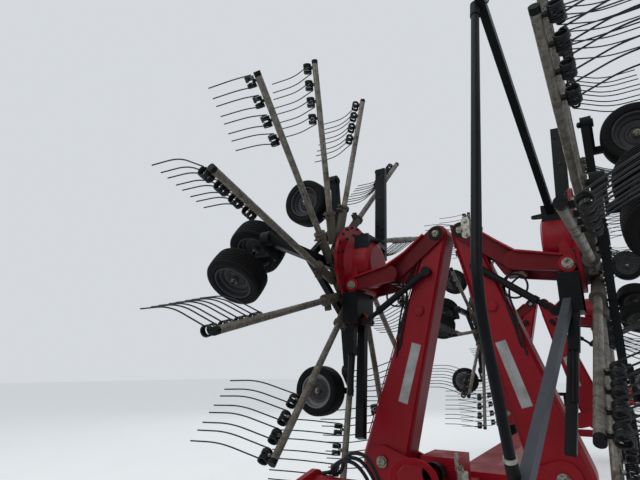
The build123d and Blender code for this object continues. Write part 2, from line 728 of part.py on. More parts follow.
def make_headstock():
    """Two-point hitch: fork round the swivel boss, upright, cross tube and link brackets."""
    y = HITCH_PIVOT_Y
    with BuildPart() as headstock:
        for z, thickness in ((SWIVEL_Z1, 24), (SWIVEL_Z0, -24)):
            with BuildSketch(Plane.XY.offset(z)) as fork:
                with Locations((0, y)):
                    Circle(75)
                with Locations((0, y - 160)):
                    Rectangle(180, 100)
                make_hull()
            extrude(amount=thickness)
        with BuildSketch(Plane.XY.offset(SWIVEL_Z0 - 40)) as swivel_pin:
            with Locations((0, y)):
                Circle(SWIVEL_PIN_R)
        extrude(amount=SWIVEL_Z1 - SWIVEL_Z0 + 80)
        with Locations((0, y - 170, (SWIVEL_Z0 + LINK_Z) / 2)):
            Box(180, 80, LINK_Z - SWIVEL_Z0 + 90)
        with BuildSketch(Plane.YZ) as cross_tube:
            with Locations((y - 180, LINK_Z)):
                Circle(48)
        extrude(amount=LINK_X, both=True)
        for side in SIDES.values():
            with BuildSketch(Plane.YZ.offset(side * LINK_X)) as cheek:
                with Locations((y - 180, LINK_Z)):
                    Circle(75)
                with Locations((y + LINK_Y, LINK_Z - 10)):
                    Circle(55)
                make_hull()
            extrude(amount=-side * 30)
            with BuildSketch(Plane.YZ.offset(side * LINK_X)) as link_pin:
                with Locations((y + LINK_Y, LINK_Z - 10)):
                    Circle(LINK_PIN_R)
            extrude(amount=side * LINK_PIN_REACH)
    return headstock.part


def make_jack():
    """Parking leg that slides in the frame's sleeve, with a round foot on the ground."""
    with BuildPart() as jack:
        with BuildSketch() as foot:
            with Locations((JACK_X, JACK_Y)):
                Circle(110)
        extrude(amount=14)
        with BuildSketch() as leg:
            with Locations((JACK_X, JACK_Y)):
                Circle(JACK_TUBE_R)
        extrude(amount=BEAM_TOP_Z + 130)
    return jack.part


def make_lamp_bar():
    """Rear cross bar on an upright, with a warning board and lamp box at each end."""
    back = LENGTH / 2
    bar_z = BEAM_TOP_Z + 210
    beam_end = ROAD_AXLE_Y + 180
    with BuildPart() as lamp_bar:
        with Locations((0, back - 45, bar_z)):
            Box(2 * LAMP_BAR_HALF, 50, 60)
        for side in SIDES.values():
            with Locations((side * (LAMP_BAR_HALF - 210), back - 10, bar_z)):
                Box(420, 20, 280)
        with Locations((0, (beam_end + back - 20) / 2, BEAM_TOP_Z - 60)):
            Box(120, back - 20 - beam_end, 100)
        with Locations((0, back - 45, (BEAM_TOP_Z - 110 + bar_z) / 2)):
            Box(80, 50, bar_z - BEAM_TOP_Z + 110)
    return lamp_bar.part


def save_rotor_unit(station, side, shared):
    """Writes one rotor with its boom, head, undercarriage, castors and wheels."""
    for name in ("boom", "gooseneck", "rotor_head", "undercarriage"):
        save_at(shared[name], name, station, side)
    phase = ARM_PHASE[station, side]
    save_at(make_arm_carrier(phase), "arm_carrier", station, side)
    arms = [
        shared["tine_arm"].moved(arm_plane(phase + n * 360 / ARM_COUNT).location)
        for n in range(ARM_COUNT)
    ]
    save_at(Compound(children=arms), "tine_arms", station, side)
    for which in castor_pivots():
        where = castor_plane(which).location
        if which == "nose":
            castor = shared["nose_castor"]
            spots = (-TWIN_OFFSET, TWIN_OFFSET)
        else:
            castor = shared["side_castor"]
            spots = (0,)
        wheels = [shared["wheel"].moved(where * Pos(TRAIL, y, WHEEL_DROP)) for y in spots]
        save_at(castor.moved(where), f"{which}_castor", station, side)
        save_at(Compound(children=wheels), f"{which}_wheel", station, side)


shared_pieces = {
    "boom": make_boom(),
    "gooseneck": Compound(children=[make_gooseneck(), make_strut()]),
    "rotor_head": make_rotor_head(),
    "undercarriage": make_undercarriage(),
    "tine_arm": make_tine_arm(),
    "nose_castor": make_nose_castor(),
    "side_castor": make_side_castor(),
    "wheel": make_wheel(WHEEL_R, WHEEL_W, WHEEL_RIM_R, STUB_R + FIT, 40),
}
for station_name in STATIONS:
    for side_name in SIDES:
        save_rotor_unit(station_name, side_name, shared_pieces)

for side_name in SIDES:
    save_at(make_post(), "post", "front", side_name)
save_at(make_guard(), "guard", "front", "right")
save(make_main_frame(), "main_frame")
save(make_road_axle(), "road_axle")
save(make_headstock(), "headstock")
save(make_jack(), "jack")
save(make_lamp_bar(), "lamp_bar")
road_wheel = make_wheel(ROAD_WHEEL_R, ROAD_WHEEL_W, ROAD_RIM_R, ROAD_STUB_R + FIT, 50)
for side_name, sign in SIDES.items():
    spot = Location((sign * HALF_TRACK, ROAD_AXLE_Y, ROAD_WHEEL_R), (0, 0, 90))
    save(road_wheel.moved(spot), f"road_wheel_{side_name}")

box = Compound(children=nodes).bounding_box()
print("box", [round(v, 1) for v in (*box.min, *box.max)])
print("front axis", FRONT_AXIS_Y, "rear axis", REAR_AXIS_Y, "road axle", ROAD_AXLE_Y)
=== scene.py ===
"""Dresses a towed four rotor hay rake, folded for the road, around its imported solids.

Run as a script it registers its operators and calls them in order.
Lengths are metres, in the frame of the solids: X across, -Y to the hitch, Z up.
"""

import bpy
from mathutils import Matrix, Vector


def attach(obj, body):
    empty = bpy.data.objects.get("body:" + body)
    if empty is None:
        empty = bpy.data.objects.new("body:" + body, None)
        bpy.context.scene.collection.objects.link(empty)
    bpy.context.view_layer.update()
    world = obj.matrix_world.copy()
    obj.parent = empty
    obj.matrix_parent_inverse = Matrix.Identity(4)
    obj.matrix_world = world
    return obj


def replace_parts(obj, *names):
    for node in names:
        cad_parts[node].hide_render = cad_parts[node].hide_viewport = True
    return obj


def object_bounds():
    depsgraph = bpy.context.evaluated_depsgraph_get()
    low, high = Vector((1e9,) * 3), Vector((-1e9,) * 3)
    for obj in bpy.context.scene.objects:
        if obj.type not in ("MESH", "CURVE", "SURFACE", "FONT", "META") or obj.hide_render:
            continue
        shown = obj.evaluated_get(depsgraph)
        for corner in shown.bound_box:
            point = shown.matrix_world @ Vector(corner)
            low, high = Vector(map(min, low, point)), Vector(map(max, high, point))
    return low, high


bl_info = {
    "name": "Folded rotary rake",
    "version": (1, 0, 0),
    "blender": (4, 5, 0),
    "location": "View3D > Sidebar > Rake",
    "description": "Arms, spring tines, tyres, fasteners, hoses and finishes of a folded hay rake",
    "category": "Object",
}

from math import cos, pi, radians, sin, tau

import bmesh
import bpy
from bpy.props import FloatProperty, IntProperty, PointerProperty, StringProperty
from mathutils import Matrix, Vector

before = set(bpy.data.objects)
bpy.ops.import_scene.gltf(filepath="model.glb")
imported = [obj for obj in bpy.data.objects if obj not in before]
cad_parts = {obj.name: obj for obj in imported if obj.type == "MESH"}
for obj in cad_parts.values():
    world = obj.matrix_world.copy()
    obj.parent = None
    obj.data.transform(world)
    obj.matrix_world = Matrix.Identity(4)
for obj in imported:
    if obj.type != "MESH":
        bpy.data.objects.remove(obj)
CAD_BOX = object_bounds()

# The machine's main places. A rotor's own places are given from its hub axis, for the right side
HUB_Z = 2.330
FRONT_Y = -2.659
REAR_Y = 1.941
ROAD_AXLE_Y = 3.891
HITCH_Y = -3.709
SIDES = {"left": -1, "right": 1}
STATIONS = {"front": FRONT_Y, "rear": REAR_Y}
# Each rotor's hub along the machine, and the sign of its side
ROTORS = {f"{station}_{side}": (y, sign) for station, y in STATIONS.items() for side, sign in SIDES.items()}

# First arm's angle on each rotor, measured from the hitch end upwards, seen from outside
ARM_PHASE = {"front_left": 8.4, "front_right": 21.0, "rear_left": 17.0, "rear_right": 12.0}
ARM_COUNT = 12
PAIR_COUNT = 4
# An arm's ends, each as across and radius, and the degrees that its root trails its tip
ARM_ROOT = (0.896, 0.454)
ARM_TIP = (0.850, 1.700)
ARM_LAG = 20.75
# Lengths from an arm's tip: back to its outermost tine pair, and out to the ends of its tube and cap
PAIR_SETBACK = 0.0085
TUBE_END = 0.040
CAP_ENDS = (0.012, 0.0440)

# Faces that fasteners stand on, across the machine from its middle
FLANGE_BACK = 0.816
CARRIER_FACE = 0.9235
CHASSIS_FACE = 0.9952
BLOCK_FACE = 0.6895
CASTOR_X = 0.995
CASTOR_BACK = 0.9328

# A castor's wheel: how far it trails, how far it stands out, and half the spacing of twins
TRAIL = 0.160
WHEEL_DROP = 0.250
TWIN_OFFSET = 0.170
# Pivot offset along the machine, pivot height, and the angle that the castor trails below level
CASTORS = {
    "nose": (-1.020, HUB_Z + 0.030, 40.0),
    "outer": (-0.100, HUB_Z + 0.770, 90.0),
    "inner": (0.110, HUB_Z - 0.842, 90.0),
}
# Wheels: radius, width, rim and hub radius, cap height, nuts as count, ring, lift and width, lug depth
SMALL_WHEEL = (0.205, 0.165, 0.136, 0.020, 0.022, (1, 0.0, 0.022, 0.030), 0.0)
ROAD_WHEEL = (0.430, 0.300, 0.240, 0.042, 0.044, (6, 0.105, -0.004, 0.019), 0.018)
ROAD_WHEEL_X = 0.920
ROAD_TREAD_STEPS = 150

# Boom and gooseneck pins, each as across and height, and the boom's front face
BOOM_FOOT = (0.580, 0.870)
BOOM_TOP = (0.090, 2.480)
TRUNNION = (0.760, 2.140)
BOOM_FACE = -0.110
# Top edge of the gooseneck plates: across, height, and the flange's near and far side
NECK_EDGE = (
    (0.182, 2.4825, 0.112, 0.156),
    (0.330, 2.3622, 0.112, 0.164),
    (0.400, 2.3053, 0.112, 0.200),
    (0.4592, 2.2571, 0.118, 0.238),
    (0.560, 2.2344, 0.186, 0.238),
    (0.735, 2.1948, 0.188, 0.234),
)
# Legs under each rotor head: top and foot from the hub, and the share that is square tube
LEGS = (
    (Vector((0.755, -0.040, -0.440)), Vector((0.650, -0.330, -1.290)), 1.0),
    (Vector((0.765, -0.205, -0.440)), Vector((0.705, -0.370, -1.010)), 0.5),
)
# Levelling ram's ends from the hub, and the eyes there and the knuckle's pin as across and height
RAM_TOP = Vector((0.180, -0.138, -0.130))
RAM_FOOT = Vector((0.655, -0.195, -0.480))
UPPER_EYE = (0.180, -0.130)
LOWER_EYE = (0.655, -0.480)
KNUCKLE = (0.090, 0.150)
# Bolts on a front post, across and up from its foot
POST_BOLTS = ((-0.022, 0.30), (0.022, 0.34), (0.0, 0.62), (-0.022, 0.86), (0.022, 0.90))

# Boom hoses: across, along the machine from the hub, and height. The third has one loop
BOOM_HOSE_THICK = 0.014
HOSE_LOOP = [
    (0.423 + 0.082 * cos(angle), -0.128 + 0.006 * step / 18, 2.041 + 0.082 * sin(angle))
    for step, angle in enumerate(radians(degrees) for degrees in range(200, -275, -25))
]
BOOM_HOSES = (
    (
        (0.470, 0.0, 1.500), (0.425, -0.118, 1.620), (0.395, -0.123, 1.780), (0.362, -0.123, 1.900),
        (0.345, -0.105, 2.010), (0.362, -0.078, 2.110), (0.420, -0.070, 2.160),
    ),
    (
        (0.497, 0.012, 1.440), (0.452, -0.122, 1.560), (0.425, -0.126, 1.760), (0.398, -0.126, 1.900),
        (0.375, -0.110, 2.000), (0.398, -0.086, 2.080), (0.470, -0.070, 2.120),
    ),
    (
        (0.420, -0.120, 1.760), (0.362, -0.128, 1.900), *HOSE_LOOP,
        (0.420, -0.112, 2.150), (0.500, -0.080, 2.262),
    ),
)
# Headstock hoses: start across, rise of the bow, and how far its crown stands out
FRONT_HOSE_THICK = 0.018
FRONT_HOSES = ((-0.13, 0.05, 0.0), (-0.10, 0.075, 0.02), (-0.16, 0.035, 0.01))

# Centre line of the front guard: along the machine from the hub, and height above it
GUARD_PATH = ((-1.270, 1.040), (-1.770, -0.480), (-1.760, -0.640), (-1.450, -1.250))
GUARD_X = 0.555
# Link pin's place along and above, and across it the points of its sleeve and its ring's face
LINK_PIN = (HITCH_Y - 0.340, 0.920)
LINK_SLEEVE = (0.4835, 0.5230, 0.5622)
LINK_RING_X = 0.4828
# Drive shaft guard's wall as along and radius, outside out and inside back
SHAFT_WALL = (
    (0.000, 0.040), (0.015, 0.047), (0.060, 0.054), (0.118, 0.060),
    (0.118, 0.056), (0.060, 0.050), (0.018, 0.043), (0.004, 0.036),
)
# Arched plate beside the front hoses: its faces along, and the middle of its arch
HOOP_FACES = (-3.592, -3.580)
HOOP_MIDDLE = (-0.045, 0.930)
# Jack crank's place across and along, the rear boards' across and above, the side reflectors' along
CRANK = (0.150, FRONT_Y - 0.720)
BOARD_X = 0.990
BOARD_Z = 1.050
REFLECTORS_Y = (-1.710, -0.690, 0.330, 1.350, 2.700)

# Which kept solids take which finish, by the start of their names
SOLID_FINISHES = {
    "red": ("boom", "rotor_head", "main_frame", "road_axle", "headstock"),
    # Goosenecks take a red darkened as painted shade for their hollow undersides
    "shade darkened red": ("gooseneck",),
    "dark grey": ("undercarriage", "post", "nose_castor", "outer_castor", "inner_castor"),
    "casting": ("arm_carrier",),
    "zinc": ("jack",),
    "black": ("lamp_bar",),
}

# The photograph's viewpoint, and the soft panels as place, width in metres and power in watts
CAMERA_PLACE = (0.946, -3.499 + FRONT_Y, 1.497)
CAMERA_TILT = radians(105.3)
CAMERA_TURN = radians(31.31)
CAMERA_LENS = 26.72
PANELS = {
    "sky_panel": ((-3.0, -9.0, 9.0), 9.0, 430.0),
    "side_panel": ((9.0, -5.0, 6.0), 7.0, 120.0),
    "back_panel": ((-6.0, 8.0, 8.0), 8.0, 200.0),
}
PANEL_AIM = Vector((0, -1.5, 1.8))
FLOOR_HALF = 60.0


# Colours and material nodes


def linear(hex_colour):
    """Turns an sRGB hex colour into the linear RGBA that a socket takes."""
    values = [int(hex_colour[i : i + 2], 16) / 255 for i in (1, 3, 5)]
    return [v / 12.92 if v <= 0.04045 else ((v + 0.055) / 1.055) ** 2.4 for v in values] + [1.0]


def feed(tree, node, inputs):
    """Sets a node's inputs, or links those that are given a socket."""
    for key, value in inputs.items():
        if isinstance(value, bpy.types.NodeSocket):
            tree.links.new(value, node.inputs[key])
        else:
            node.inputs[key].default_value = value


def put(tree, kind, inputs=None, out=0, **settings):
    """Adds a node with its settings and links, and returns one of its outputs."""
    made = tree.nodes.new(kind)
    for key, value in settings.items():
        setattr(made, key, value)
    feed(tree, made, inputs or {})
    return made.outputs[out] if made.outputs else None


def start_material(name, sheen=0.32):
    """Empties a new material down to its shader, and reads Object coordinates."""
    material = bpy.data.materials.new(name)
    material.use_nodes = True
    tree = material.node_tree
    shader = tree.nodes["Principled BSDF"]
    feed(tree, shader, {"Specular IOR Level": sheen})
    return material, tree, shader, put(tree, "ShaderNodeTexCoord", out="Object")


def patches(tree, where, size_mm, low, high, detail=4.0, roughness=0.55):
    """Noise of a real patch size, cut to a 0 to 1 mask between low and high."""
    values = {"Vector": where, "Scale": 1000.0 / size_mm, "Detail": detail, "Roughness": roughness}
    noise = put(tree, "ShaderNodeTexNoise", values)
    return put(tree, "ShaderNodeMapRange", {"Value": noise, "From Min": low, "From Max": high}, clamp=True)


def coat(tree, under, over, mask, amount=1.0):
    """Lays one colour over another where a mask is set, as strongly as an amount."""
    under, over = (linear(colour) if isinstance(colour, str) else colour for colour in (under, over))
    strength = put(tree, "ShaderNodeMath", {0: mask, 1: amount}, operation="MULTIPLY")
    return put(tree, "ShaderNodeMix", {0: strength, 6: under, 7: over}, out=2, data_type="RGBA")


def settled_on_top(tree, broken_by):
    """A mask where a surface faces the sky, broken up by another mask: where dust lies."""
    normal = put(tree, "ShaderNodeNewGeometry", out="Normal")
    height = put(tree, "ShaderNodeSeparateXYZ", {"Vector": normal}, out="Z")
    values = {"Value": height, "From Min": 0.25, "From Max": 0.95}
    upward = put(tree, "ShaderNodeMapRange", values, clamp=True)
    return put(tree, "ShaderNodeMath", {0: upward, 1: broken_by}, operation="MULTIPLY")


def wire_up(tree, shader, colour, rough_mask, smooth, rough, height, bump_mm):
    """Links colour, a roughness between two values by a mask, and a bump of a real height."""
    values = {"Value": rough_mask, "To Min": smooth, "To Max": rough}
    spread = put(tree, "ShaderNodeMapRange", values, clamp=True)
    bump = put(tree, "ShaderNodeBump", {"Height": height, "Strength": 0.6, "Distance": bump_mm / 1000.0})
    feed(tree, shader, {"Base Color": colour, "Roughness": spread, "Normal": bump})


def coated_steel(name, fresh, faded, chipped, dust, gloss, dirty, sheen):
    """Sprayed enamel on steel: broad fading, fine chips to dark metal, and dust on top faces."""
    material, tree, shader, where = start_material(name, sheen)
    fade = patches(tree, where, 420, 0.38, 0.68)
    grime = patches(tree, where, 70, 0.52, 0.78, detail=6.0)
    chips = patches(tree, where, 9, 0.725, 0.750, detail=7.0, roughness=0.65)
    settled = settled_on_top(tree, patches(tree, where, 150, 0.30, 0.70))
    colour = coat(tree, fresh, faded, fade)
    colour = coat(tree, colour, dust, grime, 0.16 * dirty)
    colour = coat(tree, colour, dust, settled, 0.34 * dirty)
    colour = coat(tree, colour, chipped, chips, 0.9)
    worn = put(tree, "ShaderNodeMath", {0: settled, 1: chips}, operation="MAXIMUM")
    orange_peel = patches(tree, where, 2.5, -1.5, 2.5, detail=2.0)
    height = put(tree, "ShaderNodeMath", {0: orange_peel, 1: chips}, operation="SUBTRACT")
    wire_up(tree, shader, colour, worn, gloss, gloss + 0.35, height, 0.25)
    return material


def dull_zinc(name, bright, dull, mud, rust, coverage, metallic):
    """Zinc on steel: grey spangle under dried mud, with brown rust where it wore off."""
    material, tree, shader, where = start_material(name)
    spangle = put(tree, "ShaderNodeTexVoronoi", {"Vector": where, "Scale": 1000.0 / 14.0}, out="Color")
    tint = put(tree, "ShaderNodeSeparateColor", {"Color": spangle}, out="Red")
    dirt = patches(tree, where, 110, 0.60 - coverage, 0.74 - coverage * 0.5, detail=7.0, roughness=0.62)
    streak = patches(tree, where, 26, 0.52, 0.62, detail=5.0)
    bare = patches(tree, where, 240, 0.46, 0.60)
    rusty = put(tree, "ShaderNodeMath", {0: streak, 1: bare}, operation="MULTIPLY")
    colour = coat(tree, bright, dull, tint)
    colour = coat(tree, colour, mud, dirt, 0.85)
    colour = coat(tree, colour, rust, rusty, 0.75)
    cover = put(tree, "ShaderNodeMath", {0: dirt, 1: rusty}, operation="MAXIMUM")
    metal = put(tree, "ShaderNodeMapRange", {"Value": cover, "To Min": metallic, "To Max": 0.0}, clamp=True)
    feed(tree, shader, {"Metallic": metal})
    wire_up(tree, shader, colour, cover, 0.42, 0.80, dirt, 0.5)
    return material


def spring_steel(name):
    """Oil hardened spring wire: nearly black, with polished grey and a little rust on the ends."""
    material, tree, shader, where = start_material(name)
    worn = patches(tree, where, 70, 0.52, 0.70)
    rusty = patches(tree, where, 30, 0.60, 0.72, detail=6.0)
    colour = coat(tree, "#0F1012", "#26272A", worn)
    colour = coat(tree, colour, "#3A291E", rusty, 0.5)
    feed(tree, shader, {"Metallic": 0.35})
    wire_up(tree, shader, colour, rusty, 0.42, 0.72, patches(tree, where, 4, 0.3, 0.7), 0.15)
    return material


def moulded_rubber(name, fresh, dust, coverage, roughness):
    """Carbon black rubber: matt and faintly brown where dry soil stays in it."""
    material, tree, shader, where = start_material(name, 0.10)
    broad = patches(tree, where, 160, 0.42, 0.68)
    fine = patches(tree, where, 14, 0.40, 0.66, detail=6.0)
    soil = put(tree, "ShaderNodeMath", {0: broad, 1: fine}, operation="MULTIPLY")
    colour = coat(tree, fresh, dust, soil, coverage)
    wire_up(tree, shader, colour, soil, roughness, roughness + 0.25, fine, 0.3)
    return material


def turned_steel(name, base, oil):
    """Plated pins and fasteners: satin grey with greasy smears."""
    material, tree, shader, where = start_material(name)
    smear = patches(tree, where, 22, 0.44, 0.66, detail=5.0)
    feed(tree, shader, {"Metallic": 0.7})
    wire_up(tree, shader, coat(tree, base, oil, smear), smear, 0.36, 0.66, smear, 0.1)
    return material


def bare_film(name, base, aged):
    """Blank vinyl band where a machine carries its lettering: smooth, chalky and slightly stained."""
    material, tree, shader, where = start_material(name)
    aging = patches(tree, where, 90, 0.40, 0.75, detail=6.0)
    wire_up(tree, shader, coat(tree, base, aged, aging), aging, 0.42, 0.62, aging, 0.05)
    return material


def striped_film(name):
    """Retroreflective board film in slanting red and white bars 100 mm wide, measured across X."""
    material, tree, shader, where = start_material(name)
    bar_mm = 100.0
    across = put(tree, "ShaderNodeSeparateXYZ", {"Vector": where}, out="X")
    upward = put(tree, "ShaderNodeSeparateXYZ", {"Vector": where}, out="Z")
    slant = put(tree, "ShaderNodeMath", {0: across, 1: upward}, operation="ADD")
    wave = put(tree, "ShaderNodeMath", {0: slant, 1: bar_mm / 1000.0}, operation="PINGPONG")
    bar = put(tree, "ShaderNodeMath", {0: wave, 1: bar_mm / 2000.0}, operation="GREATER_THAN")
    grime = patches(tree, where, 80, 0.45, 0.75, detail=6.0)
    colour = coat(tree, "#B81C26", "#D8D7D2", bar)
    colour = coat(tree, colour, "#6E665A", grime, 0.35)
    wire_up(tree, shader, colour, grime, 0.3, 0.6, grime, 0.05)
    return material


def lamp_plastic(name, colour_hex):
    """Ribbed acrylic lens: clear colour with a soft gloss and ribs 12 mm apart."""
    material, tree, shader, where = start_material(name)
    values = {"Vector": where, "Scale": 1000.0 / 12.0 / tau}
    ribs = put(tree, "ShaderNodeTexWave", values, out="Fac", wave_type="BANDS", bands_direction="X")
    dusty = patches(tree, where, 30, 0.5, 0.8)
    wire_up(tree, shader, coat(tree, colour_hex, "#7C7264", dusty, 0.3), dusty, 0.18, 0.48, ribs, 0.6)
    return material


def seen_or_mirrored(tree):
    """Is 1 for rays from the camera, off a glossy surface or through a clear one, and 0 for plain light."""
    rays = put(tree, "ShaderNodeLightPath", out="Is Camera Ray").node.outputs
    values = {0: rays["Is Glossy Ray"], 1: rays["Is Transmission Ray"]}
    mirrored = put(tree, "ShaderNodeMath", values, operation="MAXIMUM")
    return put(tree, "ShaderNodeMath", {0: rays["Is Camera Ray"], 1: mirrored}, operation="MAXIMUM")


# Sprayed finishes: name, fresh, faded, chipped and dust colours, gloss, dirt and sheen
SPRAYED = {
    # Goosenecks: painted shade, a red darkened to stand for the shadow in their hollow undersides, under dust
    # and chips
    "shade darkened red": ("Oily red enamel on steel", "#5E0812", "#48070E", "#241512", "#3E3028", 0.44, 0.7, 0.14),
    # Undercarriages, castors and posts: cold and nearly black, with chalky dust on top
    "dark grey": ("Dark grey enamel on steel", "#0C0F13", "#13161A", "#3D352E", "#544E45", 0.42, 0.65, 0.10),
    # Covers and lamp bar: a flat black that only dust and edge light pick out
    "black": ("Black enamel on steel", "#07090B", "#0E1114", "#332D28", "#4E483F", 0.40, 0.65, 0.10),
    # The guard's lower bar: paler, blue and dull
    "blue grey": ("Blue grey enamel on steel", "#343A43", "#404650", "#211F1D", "#6A655C", 0.44, 1.0, 0.22),
    # Arm carriers and sockets: earthy brown iron, rough and dirty all over
    "casting": ("Worn steel casting", "#4E483F", "#332F2A", "#6A6258", "#6B6154", 0.55, 1.6, 0.22),
    # Inner and road wheels: silver that has gone dull
    "rim": ("Silver enamel wheel rim", "#696A6D", "#4E4F52", "#3B3027", "#5A534A", 0.42, 1.1, 0.25),
    # Nose and outer wheels: the same rim, darkened as painted shade, with dust on it
    "shade darkened rim": ("Dusty dark wheel rim", "#2F3032", "#232426", "#2A211A", "#4A443C", 0.5, 1.2, 0.2),
    # Wheel discs: matt grey with soil in the dish
    "disc": ("Dusty grey wheel disc", "#3B3B3D", "#2C2C2E", "#2A211A", "#5A534A", 0.5, 1.2, 0.2),
    # Guard pipe: smooth blue black, cleaner than the rest
    "guard": ("Blue black enamel on pipe", "#080C10", "#0D1115", "#332E29", "#403F3B", 0.36, 0.55, 0.09),
}
# Zinc finishes: name, bright, dull, mud and rust colours, how far mud covers it, and its metal
ZINCS = {
    # Tine arms: weathered, half hidden by dried mud
    "galvanised": ("Galvanised steel tube", "#77736B", "#5B564E", "#413A31", "#37281B", 0.12, 0.35),
    # Jack and small plates: paler and cleaner
    "zinc": ("Zinc plated steel", "#A09F97", "#84837C", "#6B6357", "#5B4230", 0.0, 0.6),
}
# Rubbers: name, fresh and dust colours, how much soil shows, and roughness
RUBBERS = {
    # Tyres: dull black with brown soil
    "tyre": ("Tyre rubber", "#090A0B", "#2A2622", 0.36, 0.62),
    # Hoses: greyer, with a slight shine
    "hose": ("Braided hose rubber", "#1B1E22", "#4A443B", 0.40, 0.5),
    # Clamps, sleeves and cone: clean black plastic
    "polymer": ("Moulded black polymer", "#0D0E10", "#3C362F", 0.25, 0.45),
}
# Every finish by its key, made by build_materials
MATERIALS = {}


def build_materials(looks):
    """Makes every finish once, by its real name."""
    # Booms, heads and frame: deep red, a little sun faded, under a thin film of dust
    red = ("Red enamel on steel", looks.red, looks.red_faded, "#2A1815", "#5C4A42", 0.38, 0.45, 0.18)
    for make, finishes in (
        (coated_steel, {"red": red, **SPRAYED}),
        (dull_zinc, ZINCS),
        (moulded_rubber, RUBBERS),
    ):
        for key, values in finishes.items():
            MATERIALS[key] = make(*values)
    MATERIALS["spring"] = spring_steel("Hardened spring wire")
    MATERIALS["fastener"] = turned_steel("Plated steel fastener", "#8F8C80", "#3E372C")
    MATERIALS["dark fastener"] = turned_steel("Blackened steel fastener", "#35322F", "#1C1916")
    MATERIALS["film"] = bare_film("Blank vinyl band", "#9B9C9E", "#7A7871")
    MATERIALS["board"] = striped_film("Reflective board film")
    MATERIALS["red lens"] = lamp_plastic("Red acrylic lens", "#8E0F12")
    MATERIALS["amber lens"] = lamp_plastic("Amber acrylic lens", "#B45A0C")


# Mesh building


class Shell:
    """The vertices and faces of one piece while it is being built."""

    def __init__(self):
        self.verts = []
        self.faces = []

    def add(self, verts, faces, matrix=None):
        """Adds a closed form, moved by a matrix where one is given."""
        start = len(self.verts)
        self.verts += [matrix @ Vector(v) if matrix else Vector(v) for v in verts]
        self.faces += [[start + i for i in face] for face in faces]
        return self

    def join(self, other, matrix=None):
        """Adds another shell, moved by a matrix where one is given."""
        return self.add(other.verts, other.faces, matrix)


def frame_matrix(origin, along, across):
    """A placing whose Z runs along one direction and whose X lies nearest to another."""
    z = Vector(along).normalized()
    x = Vector(across)
    x = (x - z * x.dot(z)).normalized()
    matrix = Matrix((x, z.cross(x), z)).transposed().to_4x4()
    matrix.translation = Vector(origin)
    return matrix


def facing_x(at, way=1):
    """A placing whose Z points across the machine, outwards or inwards."""
    return frame_matrix(at, (way, 0, 0), (0, 1, 0))


def facing_y(at, way=1):
    """A placing whose Z points along the machine, to the back or the front."""
    return frame_matrix(at, (0, way, 0), (1, 0, 0))


# Stands a flat outline up, so that it is drawn in XZ and its thickness runs along Y
ON_EDGE = Matrix(((1, 0, 0, 0), (0, 0, 1, 0), (0, 1, 0, 0), (0, 0, 0, 1)))


def circle(radius, count, centre=(0.0, 0.0)):
    """Points of a regular outline."""
    angles = [tau * i / count for i in range(count)]
    return [(centre[0] + radius * cos(angle), centre[1] + radius * sin(angle)) for angle in angles]


def skin(rings, closed=False):
    """Joins equal rings of points by quads, into a loop or with a flat cap on each end."""
    count = len(rings[0])
    verts = [point for ring in rings for point in ring]
    last = len(verts) - count
    faces = [] if closed else [tuple(range(count - 1, -1, -1)), tuple(range(last, last + count))]
    for here in range(0, len(verts) if closed else last, count):
        there = (here + count) % len(verts)
        for index in range(count):
            ahead = (index + 1) % count
            faces.append((here + index, here + ahead, there + ahead, there + index))
    return verts, faces


def lathe(profile, segments, wobble=None):
    """Turns a closed profile of (across, radius) about X. wobble moves each of its points."""
    rings = []
    for step in range(segments):
        angle = tau * step / segments
        points = [wobble(step, index, *point) if wobble else point for index, point in enumerate(profile)]
        rings.append([(across, radius * cos(angle), radius * sin(angle)) for across, radius in points])
    return skin(rings, closed=True)


def sweep(points, radius, sides):
    """Carries a round section along a path, with a flat cap on each end."""
    points = [Vector(p) for p in points]
    ahead = (points[1] - points[0]).normalized()
    side = ahead.orthogonal().normalized()
    rings = []
    for index, point in enumerate(points):
        before = points[max(index - 1, 0)]
        after = points[min(index + 1, len(points) - 1)]
        along = (after - before).normalized()
        side = (side - along * side.dot(along)).normalized()
        up = along.cross(side)
        rings.append([point + side * across + up * upward for across, upward in circle(radius, sides)])
    return skin(rings)


def prism(outline, low, high, bevel=0.0):
    """Gives a flat outline in XY a thickness from low to high along Z, with eased edges."""
    count = len(outline)
    middle = Vector((sum(p[0] for p in outline) / count, sum(p[1] for p in outline) / count))
    levels = [(low, bevel), (high, bevel)]
    if bevel:
        levels[1:1] = [(low + bevel, 0.0), (high - bevel, 0.0)]
    rings = []
    for height, inset in levels:
        shrunk = [point + (middle - point).normalized() * inset for point in map(Vector, outline)]
        rings.append([(*point, height) for point in shrunk])
    return skin(rings)


def box(low, high, ease=0.002):
    """A block between two corners, with eased edges."""
    (x0, y0, z0), (x1, y1, z1) = low, high
    return prism([(x0, y0), (x1, y0), (x1, y1), (x0, y1)], z0, z1, ease)


def square_bar(start, end, across, deep, ease=0.003):
    """A square section bar between two points, its width measured across X, with its placing."""
    run = Vector(end) - Vector(start)
    block = box((-across / 2, -deep / 2, 0.0), (across / 2, deep / 2, run.length), ease)
    return *block, frame_matrix(start, run, (1, 0, 0))


def bolt(across, height, washer):
    """A hexagon head on its washer with a stub of thread, standing on Z = 0."""
    seat = height * 0.18
    shell = Shell()
    shell.add(*prism(circle(washer, 20), 0.0, seat, height * 0.04))
    shell.add(*prism(circle(across / 2 / cos(pi / 6), 6), seat, height, height * 0.08))
    shell.add(*prism(circle(across * 0.3, 12), height, height * 1.35, height * 0.06))
    return shell


def bent(start, corner, end, t):
    """A point on the smooth bend that a corner pulls between two points."""
    return start * (1 - t) ** 2 + corner * (2 * t * (1 - t)) + end * t**2


def rounded(points, reach):
    """A line through points, with a short arc in place of each inner corner."""
    line = [points[0]]
    for before, corner, after in zip(points, points[1:], points[2:]):
        start = corner + (before - corner).normalized() * reach
        end = corner + (after - corner).normalized() * reach
        line += [bent(start, corner, end, step / 6) for step in range(7)]
    return line + [points[-1]]


